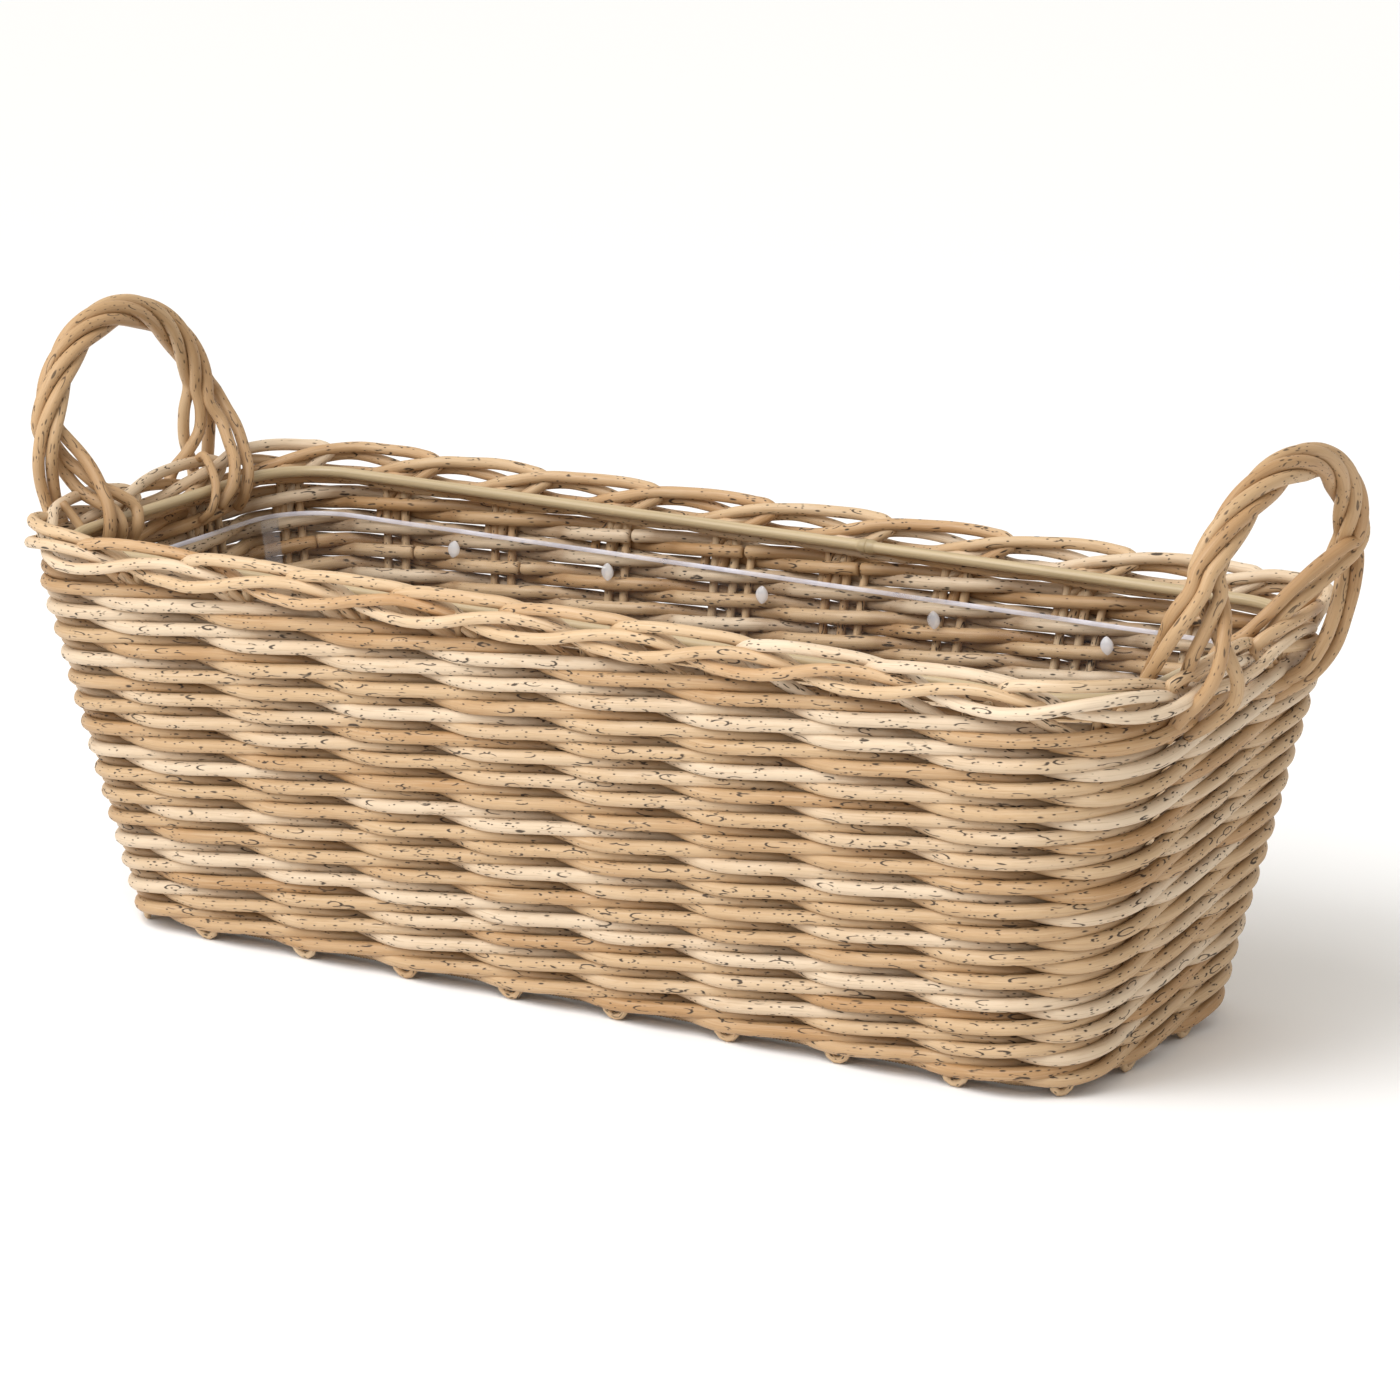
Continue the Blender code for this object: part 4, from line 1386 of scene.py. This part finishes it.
@dataclass
class Handle:
    """A rope of five strands, opened out at both feet.

    first_feet and last_feet list the strands' ways down by their place round
    the rope; for the left handle the frame is turned half round, so its first
    feet are the far ones. loose lists short pieces that lie beside the feet,
    and drop is how far the rope sits below the top of its solids.
    """

    wall: Wall
    finish: bpy.types.Material
    side: Side
    half_width: float
    outset: float
    lean: float
    skew: float
    yaw: float
    first_angle: float
    last_angle: float
    first_feet: tuple
    last_feet: tuple
    loose: tuple = ()
    drop: float = 0.0
    strands: int = 5
    radius: float = 2.75 * MM
    loose_radius: float = 2.0 * MM
    rope_radius: float = 4.65 * MM
    arch_rise: float = 53.0 * MM
    twist_turns: float = 1.4
    pivot_rise: float = 21.0 * MM
    stations: int = 36
    uneven: Uneven = Uneven((-0.04, 0.04), 0.03, 0.15)
    tones: tuple = (0.25, 1.0)
    shade: float = 0.2
    end_shade: float = 0.6
    end_length: float = 14.0 * MM
    step: float = 2.2 * MM
    sides: int = 14
    seed: int = 31

    def build(self) -> None:
        """Make one object for each strand."""
        word = self.side.name.lower()
        top = max(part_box(f"handle_{word}_strand_{n + 1}")[1].z for n in range(self.strands))
        self.widest = top - self.drop - self.rope_radius - self.radius - self.arch_rise
        for index in range(self.strands):
            rng = np.random.default_rng(self.seed + index)
            rods = RodMesh(self.sides)
            self._sweep(rods, self._points(index), self.radius, rng)
            if index < len(self.loose):
                self._sweep(rods, self._foot(self.loose[index]), self.loose_radius, rng)
            name = f"handle_{word}_strand_{index + 1}"
            hand_over(rods.build(f"twisted_{name}", self.finish), "handle_cane", name)

    def _sweep(self, rods: RodMesh, points: np.ndarray, radius: float, rng: np.random.Generator) -> None:
        """Add one rod through points, with painted shade towards its ends.

        Args:
            rods: the mesh to add to.
            points: the places that it passes through, in the right handle's frame.
            radius: the rod's radius.
            rng: the seeded source of its small differences.
        """
        path = smooth_route(points, self.step)
        path[:, :2] *= self.side.value
        along = np.arange(len(path)) * self.step
        size = radius * self.uneven.share(along, rng)
        # Painted shade towards both ends, where the strand goes down into the rim, and a little all along.
        ends = np.clip(1.0 - np.minimum(along, along[-1] - along) / self.end_length, 0.0, 1.0)
        shade = self.shade + self.end_shade * ends
        rods.add(path, size, self._guide(path), rng.uniform(*self.tones), rng.uniform(0, LAY_RANGE), shade)

    def _guide(self, path: np.ndarray) -> np.ndarray:
        """The direction that a strand runs along the least, for every point.

        Formula: the unit vector whose squared products with all the tangents
        add up to the least, which is the first eigenvector of the sum of the
        tangents' outer products, turned to point out along X.

        Args:
            path: the strand's centre points.

        Returns:
            That one direction, repeated for each point.
        """
        tangent = np.gradient(path, axis=0)
        tangent /= np.linalg.norm(tangent, axis=1)[:, None]
        least = np.linalg.eigh(tangent.T @ tangent)[1][:, 0]
        return np.broadcast_to(least * np.sign(least[0]), path.shape)

    def _points(self, index: int) -> np.ndarray:
        """The places that one strand passes through, foot to foot.

        Formula: along the arch, the strand turns round the middle of the rope
        at rope_radius, twist_turns times from foot to foot. The arch is half
        an ellipse, cut short by an angle at each foot; it leans out by lean
        and along by skew times the height, and turns by yaw about the
        upright. At each foot the strand goes on down its own way.

        Args:
            index: the strand's number.

        Returns:
            Points in the frame of the right handle.
        """
        step = 2 * math.pi / self.strands
        share = np.linspace(0.0, 1.0, self.stations)
        arch = self.first_angle + share * (math.pi - self.first_angle - self.last_angle)
        level = self.widest + self.arch_rise * np.sin(arch)
        away_y = -np.cos(arch) * self.arch_rise
        away_z = np.sin(arch) * self.half_width
        size = np.hypot(away_y, away_z)
        angle = (index + 0.5) * step - share * self.twist_turns * 2 * math.pi
        height = level - self.wall.top - self.pivot_rise
        pivot = self.wall.end_reach(self.wall.border_inset, self.wall.top + self.pivot_rise)
        middle_y = -self.half_width * np.cos(arch)
        middle_x = pivot + self.outset + self.lean * height + self.yaw * middle_y
        x = middle_x + self.rope_radius * np.cos(angle)
        y = middle_y + self.skew * height + self.rope_radius * np.sin(angle) * away_y / size
        z = level + self.rope_radius * np.sin(angle) * away_z / size
        rope = np.stack((x, y, z), axis=-1)
        steps = round(self.twist_turns * self.strands)
        first = self._foot(self.first_feet[index])
        last = self._foot(self.last_feet[(index - steps) % self.strands])
        return np.vstack((first[::-1], rope, last))

    def _foot(self, foot: Foot) -> np.ndarray:
        """Points of one strand from the rope's end down.

        Args:
            foot: the strand's way down.

        Returns:
            The listed places in metres, in the frame of the right handle.
        """
        edge = self.wall.end_reach(0.0, self.wall.top)
        places = np.array((foot.reach, foot.across, foot.rise)).T * MM
        return places + np.array([edge, 0.0, self.wall.top])


@dataclass
class Liner:
    """The clear film tub, with its hem, overlap and small clear fasteners."""

    wall: Wall
    film: bpy.types.Material
    hem: bpy.types.Material
    seam: bpy.types.Material
    tie: bpy.types.Material
    thickness: float = 0.35 * MM
    slack: float = 1.2 * MM
    columns: int = 360
    bend: float = 6.0 * MM
    bend_rows: int = 5
    wall_rows: int = 22
    ripple: float = 0.5 * MM
    wave_laps: tuple = (31, 19)
    wave_climbs: tuple = (60.0, -95.0)
    wave_phase: float = 1.3
    hem_height: float = 1.7 * MM
    hem_above: float = 0.3 * MM
    hem_depth: float = 0.75 * MM
    hem_gap: float = 0.5 * MM
    hem_ripple: float = 0.3 * MM
    hem_rows: int = 12
    hem_roundness: float = 0.6
    seam_turn: float = 16.72
    seam_width: float = 13.0 * MM
    seam_drop: float = 62.0 * MM
    seam_below: float = 1.0 * MM
    seam_gap: float = 0.15 * MM
    seam_depth: float = 0.45 * MM
    seam_rows: int = 16
    seam_columns: int = 7
    tie_turns: tuple = (9.13, 10.57, 12.05, 13.43, 14.85)
    tie_drop: float = 8.5 * MM
    tie_inset: float = 2.4 * MM
    tie_half: tuple = (3.0 * MM, 1.6 * MM, 4.0 * MM)
    tie_point: float = 1.5
    tie_tilt: float = 0.25
    tie_rows: int = 12
    tie_columns: int = 16
    tie_seed: int = 60

    def build(self) -> None:
        """Make the tub, the hem, the overlap and the fasteners."""
        low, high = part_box("liner")
        self.inset = self.wall.end_reach(0.0, high.z) - high.x + self.slack
        self.bottom, self.top = low.z, high.z
        self._tub()
        self._hem()
        self._overlap()
        self._fasteners()

    def _wave(self, turn: np.ndarray, level: np.ndarray) -> np.ndarray:
        """How far the film strays inwards, from 0 to 1.

        Formula: a half, and a quarter of each of two sine waves that run
        round the wall and up it on a slant. Both have a whole number of waves
        round the wall, so that it closes.

        Args:
            turn: spaces between stakes, round from the middle of the front.
            level: the height.

        Returns:
            The share of the ripple at each place.
        """
        lap = turn / self.wall.stakes * 2 * math.pi
        first = np.sin(self.wave_laps[0] * lap + self.wave_climbs[0] * level)
        second = np.sin(self.wave_laps[1] * lap + self.wave_climbs[1] * level + self.wave_phase)
        return 0.5 + 0.25 * first + 0.25 * second

    def _sheet(self, turn: np.ndarray, levels: np.ndarray, insets: np.ndarray, ripple: float) -> np.ndarray:
        """Rows of corners of a piece of film.

        Formula: the wall's surface at each row's level and inset, further in
        by the ripple times the wave.

        Args:
            turn: the places along a row.
            levels: the height of each row.
            insets: how far in each row lies.
            ripple: how far the film strays.

        Returns:
            One row of three for each corner, row by row.
        """
        around = np.tile(turn, len(levels))
        level = np.repeat(levels, len(turn))
        inset = np.repeat(insets, len(turn)) + ripple * self._wave(around, level)
        return self.wall.place(around, inset, level)

    def _lap(self) -> np.ndarray:
        """Even turns, once round the wall."""
        return np.arange(self.columns) / self.columns * self.wall.stakes

    def _shell_faces(self, rows: int, close_rows: bool) -> list:
        """Quads between rows that run round the wall.

        Args:
            rows: how many rows there are.
            close_rows: whether the last row joins the first.

        Returns:
            The corner numbers of each quad.
        """
        index = np.arange(rows * self.columns).reshape(rows, self.columns)
        below = index if close_rows else index[:-1]
        above = np.roll(index, -1, axis=0) if close_rows else index[1:]
        quads = (below, np.roll(below, -1, axis=1), np.roll(above, -1, axis=1), above)
        return np.stack(quads, axis=-1).reshape(-1, 4).tolist()

    def _tub(self) -> None:
        """Add the tub as one closed skin: outside up, over the edge, inside down.

        Formula: a flat bottom, a quarter circle of bend and a wall that
        follows the weave; the inside is the outside moved in by the film's
        thickness.
        """
        curve = np.linspace(0.0, math.pi / 2, self.bend_rows)
        wall_levels = np.linspace(self.bottom + self.bend, self.top, self.wall_rows)[1:]
        straight = np.full(len(wall_levels), 1.0)
        levels = np.concatenate((self.bottom + self.bend * (1 - np.cos(curve)), wall_levels))
        insets = np.concatenate((self.inset + self.bend * (1 - np.sin(curve)), self.inset * straight))
        lift = self.thickness * np.concatenate((np.cos(curve), 0.0 * straight))
        step_in = self.thickness * np.concatenate((np.sin(curve), straight))
        outer = self._sheet(self._lap(), levels, insets, self.ripple)
        inner = self._sheet(self._lap(), (levels + lift)[::-1], (insets + step_in)[::-1], self.ripple)
        rows = 2 * len(levels)
        faces = self._shell_faces(rows, False)
        faces.append(list(range(self.columns))[::-1])
        faces.append(list(range((rows - 1) * self.columns, rows * self.columns)))
        tub = mesh_object("clear_liner", np.concatenate((outer, inner)), faces, self.film)
        hand_over(tub, "liner_film", "liner")

    def _hem(self) -> None:
        """Add the rolled edge: a flat band inside the film, all the way round.

        Formula: an oblong with rounded ends, swept round the wall.
        """
        low, high = self.top - self.hem_height, self.top + self.hem_above
        middle, half = (low + high) / 2, (high - low) / 2
        angle = np.linspace(0.0, 2 * math.pi, self.hem_rows, endpoint=False)
        levels = middle + half * np.sign(np.sin(angle)) * np.abs(np.sin(angle)) ** self.hem_roundness
        centre = self.inset + self.thickness + self.hem_gap + self.hem_depth / 2
        insets = centre - self.hem_depth / 2 * np.cos(angle)
        corners = self._sheet(self._lap(), levels, insets, self.hem_ripple)
        hem = mesh_object("liner_hem", corners, self._shell_faces(self.hem_rows, True), self.hem)
        hand_over(hem, "liner_film")

    def _overlap(self) -> None:
        """Add the strip where the film's two ends overlap.

        Formula: two like sheets, seam_depth apart, joined by quads all along
        their edges.
        """
        width = self.seam_width / self.wall.space
        turn = np.linspace(self.seam_turn, self.seam_turn + width, self.seam_columns)
        levels = np.linspace(self.top - self.seam_drop, self.top - self.seam_below, self.seam_rows)
        face = self.inset + self.thickness + self.seam_gap
        insets = np.repeat((face, face + self.seam_depth), self.seam_rows)
        corners = self._sheet(turn, np.tile(levels, 2), insets, self.ripple)
        outer, inner = np.arange(len(corners)).reshape(2, self.seam_rows, self.seam_columns)
        outside = np.stack((outer[:-1, :-1], outer[:-1, 1:], outer[1:, 1:], outer[1:, :-1]), -1)
        inside = np.stack((inner[:-1, :-1], inner[1:, :-1], inner[1:, 1:], inner[:-1, 1:]), -1)
        rims = [np.concatenate((face[0], face[1:, -1], face[-1, -2::-1], face[-2:0:-1, 0]))
                for face in (outer, inner)]
        sides = np.stack((rims[0], rims[1], np.roll(rims[1], -1), np.roll(rims[0], -1)), -1)
        faces = np.concatenate((outside.reshape(-1, 4), inside.reshape(-1, 4), sides))
        hand_over(mesh_object("liner_overlap", corners, faces.tolist(), self.seam), "liner_film")

    def _fasteners(self) -> None:
        """Add a small clear drop at each place where the film is tied."""
        for number, turn in enumerate(self.tie_turns):
            rng = np.random.default_rng(self.tie_seed + number)
            tilt = rng.uniform(-self.tie_tilt, self.tie_tilt)
            self._drop(f"liner_fastener_{number + 1}", turn, tilt)

    def _drop(self, name: str, turn: float, tilt: float) -> None:
        """Add one drop.

        Formula: a ball stretched to tie_half along the wall, out of it and
        up, with its waist drawn in by a power of the sine, and tilted in the
        wall's surface.

        Args:
            name: the piece's name.
            turn: the place round the wall.
            tilt: how far it leans, in radians.
        """
        rows, cols = self.tie_rows, self.tie_columns
        spot = np.array([turn])
        centre = self.wall.place(spot, self.inset + self.tie_inset, self.top - self.tie_drop)[0]
        out = self.wall.outward(spot)[0]
        across = np.array([-out[1], out[0], 0.0])
        up = np.array([0.0, 0.0, 1.0])
        leaned_across = math.cos(tilt) * across + math.sin(tilt) * up
        leaned_up = math.cos(tilt) * up - math.sin(tilt) * across
        half_across, half_out, half_up = self.tie_half
        polar = np.linspace(0.0, math.pi, rows + 2)[1:-1]
        around = np.arange(cols) / cols * 2 * math.pi
        wide = np.sin(polar)[:, None, None] ** self.tie_point
        ball = (half_across * wide * np.cos(around)[:, None] * leaned_across
                + half_out * wide * np.sin(around)[:, None] * out
                + half_up * np.cos(polar)[:, None, None] * leaned_up)
        poles = half_up * np.array([leaned_up, -leaned_up])
        corners = centre + np.concatenate((ball.reshape(-1, 3), poles))
        index = np.arange(rows * cols).reshape(rows, cols)
        turned = np.roll(index, -1, axis=1)
        quads = np.stack((index[:-1], index[1:], turned[1:], turned[:-1]), -1).reshape(-1, 4)
        top_fan = np.stack((np.full(cols, rows * cols), index[0], turned[0]), -1)
        low_fan = np.stack((np.full(cols, rows * cols + 1), turned[-1], index[-1]), -1)
        faces = quads.tolist() + top_fan.tolist() + low_fan.tolist()
        hand_over(mesh_object(name, corners, faces, self.tie), "liner_film")


@dataclass(frozen=True)
class SoftLamp:
    """A square lamp that faces the basket: its place, its power in watts and its width."""

    name: str
    place: tuple
    power: float
    size: float


@dataclass
class Studio:
    """Camera, floor and soft lights.

    focal_pixels and frame_pixels are the focal length and the width of the
    photograph in its own pixels; sun_softness is how wide the sun looks, in
    degrees.
    """

    azimuth: float = math.radians(31.65)
    elevation: float = math.radians(15.1)
    distance: float = 2205.7 * MM
    focal_pixels: float = 5396.0
    frame_pixels: float = 1400.0
    aim: tuple = (17.72 * MM, 0.0, 115.1 * MM)
    sensor: float = 36.0
    clip_end: float = 50.0
    floor_reach: float = 12.0
    sky_colour: tuple = (1.0, 0.965, 0.90, 1.0)
    sky_strength: float = 0.73
    sun_toward: tuple = (-0.50, -0.95, 1.15)
    sun_strength: float = 1.35
    sun_softness: float = 60.0
    lamps: tuple = (SoftLamp("left_light", (-1.9, -1.6, 1.2), 7.0, 1.2),
                    SoftLamp("front_light", (-0.10, -0.75, 1.05), 6.0, 0.6))

    def build(self) -> None:
        """Set the camera, the floor, the sky light, the sun and the soft lamps."""
        bpy.context.scene.view_settings.view_transform = "Standard"
        self._camera()
        self._floor()
        self._sky()
        self._sun()
        for lamp in self.lamps:
            self._hang(lamp)

    def _back(self) -> Vector:
        """The direction from the basket to the camera.

        Formula: the azimuth turns it round from the front, and the elevation
        raises it.

        Returns:
            A direction of length one.
        """
        level = math.cos(self.elevation)
        return Vector((math.sin(self.azimuth) * level, -math.cos(self.azimuth) * level,
                       math.sin(self.elevation)))

    def _camera(self) -> None:
        """Stand the camera where the photograph was taken from."""
        data = bpy.data.cameras.new("photo_camera")
        data.sensor_width = self.sensor
        data.lens = self.focal_pixels / self.frame_pixels * self.sensor
        data.clip_end = self.clip_end
        camera = bpy.data.objects.new("photo_camera", data)
        camera.location = Vector(self.aim) + self._back() * self.distance
        camera.rotation_euler = self._back().to_track_quat("Z", "Y").to_euler()
        bpy.context.scene.collection.objects.link(camera)
        bpy.context.scene.camera = camera

    def _floor(self) -> None:
        """Lay a wide pale floor."""
        corners = self.floor_reach * np.array([(-1, -1, 0), (1, -1, 0), (1, 1, 0), (-1, 1, 0)])
        floor = mesh_object("floor", corners, [[0, 1, 2, 3]], StageFinish().make())

    def _sky(self) -> None:
        """Even white light from all round."""
        world = bpy.data.worlds.new("studio")
        world.use_nodes = True
        back = world.node_tree.nodes["Background"]
        back.inputs["Color"].default_value = self.sky_colour
        back.inputs["Strength"].default_value = self.sky_strength
        bpy.context.scene.world = world

    def _sun(self) -> None:
        """Light everything evenly from one direction, with soft shadows."""
        data = bpy.data.lights.new("key_sun", "SUN")
        data.energy = self.sun_strength
        data.angle = math.radians(self.sun_softness)
        sun = bpy.data.objects.new("key_sun", data)
        sun.rotation_euler = Vector(self.sun_toward).to_track_quat("Z", "Y").to_euler()
        bpy.context.scene.collection.objects.link(sun)

    def _hang(self, lamp: SoftLamp) -> None:
        """Hang one soft lamp.

        Args:
            lamp: the lamp.
        """
        data = bpy.data.lights.new(lamp.name, "AREA")
        data.energy = lamp.power
        data.size = lamp.size
        hung = bpy.data.objects.new(lamp.name, data)
        hung.location = lamp.place
        toward = Vector(self.aim) - Vector(lamp.place)
        hung.rotation_euler = toward.to_track_quat("-Z", "Y").to_euler()
        bpy.context.scene.collection.objects.link(hung)


def main() -> None:
    """Build the studio, then the basket from the ground up."""
    logging.basicConfig(level=logging.INFO, format="%(name)s %(message)s")
    Studio().build()
    wall = Wall()
    LOG.info("wall: %.1f mm round, %.1f mm between stakes", wall.round_length / MM, wall.space / MM)
    wall_cane = CaneFinish("wall_cane_skin", pale=(0.615, 0.485, 0.345, 1.0), straw=(0.50, 0.34, 0.19, 1.0),
                           tan=(0.385, 0.215, 0.088, 1.0)).make()
    border_cane = CaneFinish("border_cane_skin").make()
    stake_cane = CaneFinish("stake_cane_skin", pale=(0.64, 0.49, 0.32, 1.0),
                            straw=(0.56, 0.39, 0.225, 1.0)).make()
    handle_cane = CaneFinish("handle_cane_skin", pale=(0.55, 0.385, 0.22, 1.0),
                             straw=(0.475, 0.305, 0.158, 1.0), tan=(0.39, 0.222, 0.098, 1.0),
                             fleck_amount=0.8).make()
    floor_cane = CaneFinish("floor_cane_skin", fleck_amount=0.7).make()
    binding = CaneFinish("binding_skin", pale=(0.50, 0.37, 0.23, 1.0), straw=(0.42, 0.28, 0.16, 1.0)).make()
    Stakes(wall, stake_cane).build()
    WaleCourses(wall, wall_cane).build()
    RolledBorder(wall, border_cane).build()
    Hoop(wall, HoopFinish().make()).build()
    BoundRing(wall, binding).build()
    LaidFloor(floor_cane).build()
    Handle(wall, handle_cane, Side.LEFT, half_width=55.0 * MM, outset=6.4 * MM, lean=0.10, skew=0.0,
           yaw=0.0, first_angle=math.radians(15.0), last_angle=math.radians(15.0),
           first_feet=LEFT_FAR, last_feet=LEFT_NEAR, loose=(HOOP_LOOP, CORNER_STUB), seed=31).build()
    Handle(wall, handle_cane, Side.RIGHT, half_width=61.5 * MM, outset=5.5 * MM, lean=0.165, skew=0.02,
           yaw=0.06, drop=1.6 * MM, first_angle=math.radians(24.0), last_angle=math.radians(15.0),
           first_feet=RIGHT_NEAR, last_feet=RIGHT_FAR, seed=57).build()
    film = FilmFinish("film_skin").make()
    hem = FilmFinish("film_edge", tint=(0.86, 0.85, 0.93, 1.0), opacity=0.55).make()
    seam = FilmFinish("film_seam", tint=(0.88, 0.87, 0.93, 1.0), opacity=0.13, roughness=0.12).make()
    drop = FilmFinish("film_drop", tint=(0.95, 0.95, 0.98, 1.0), opacity=0.5, roughness=0.12).make()
    Liner(wall, film, hem, seam, drop).build()


if __name__ == "__main__":
    main()
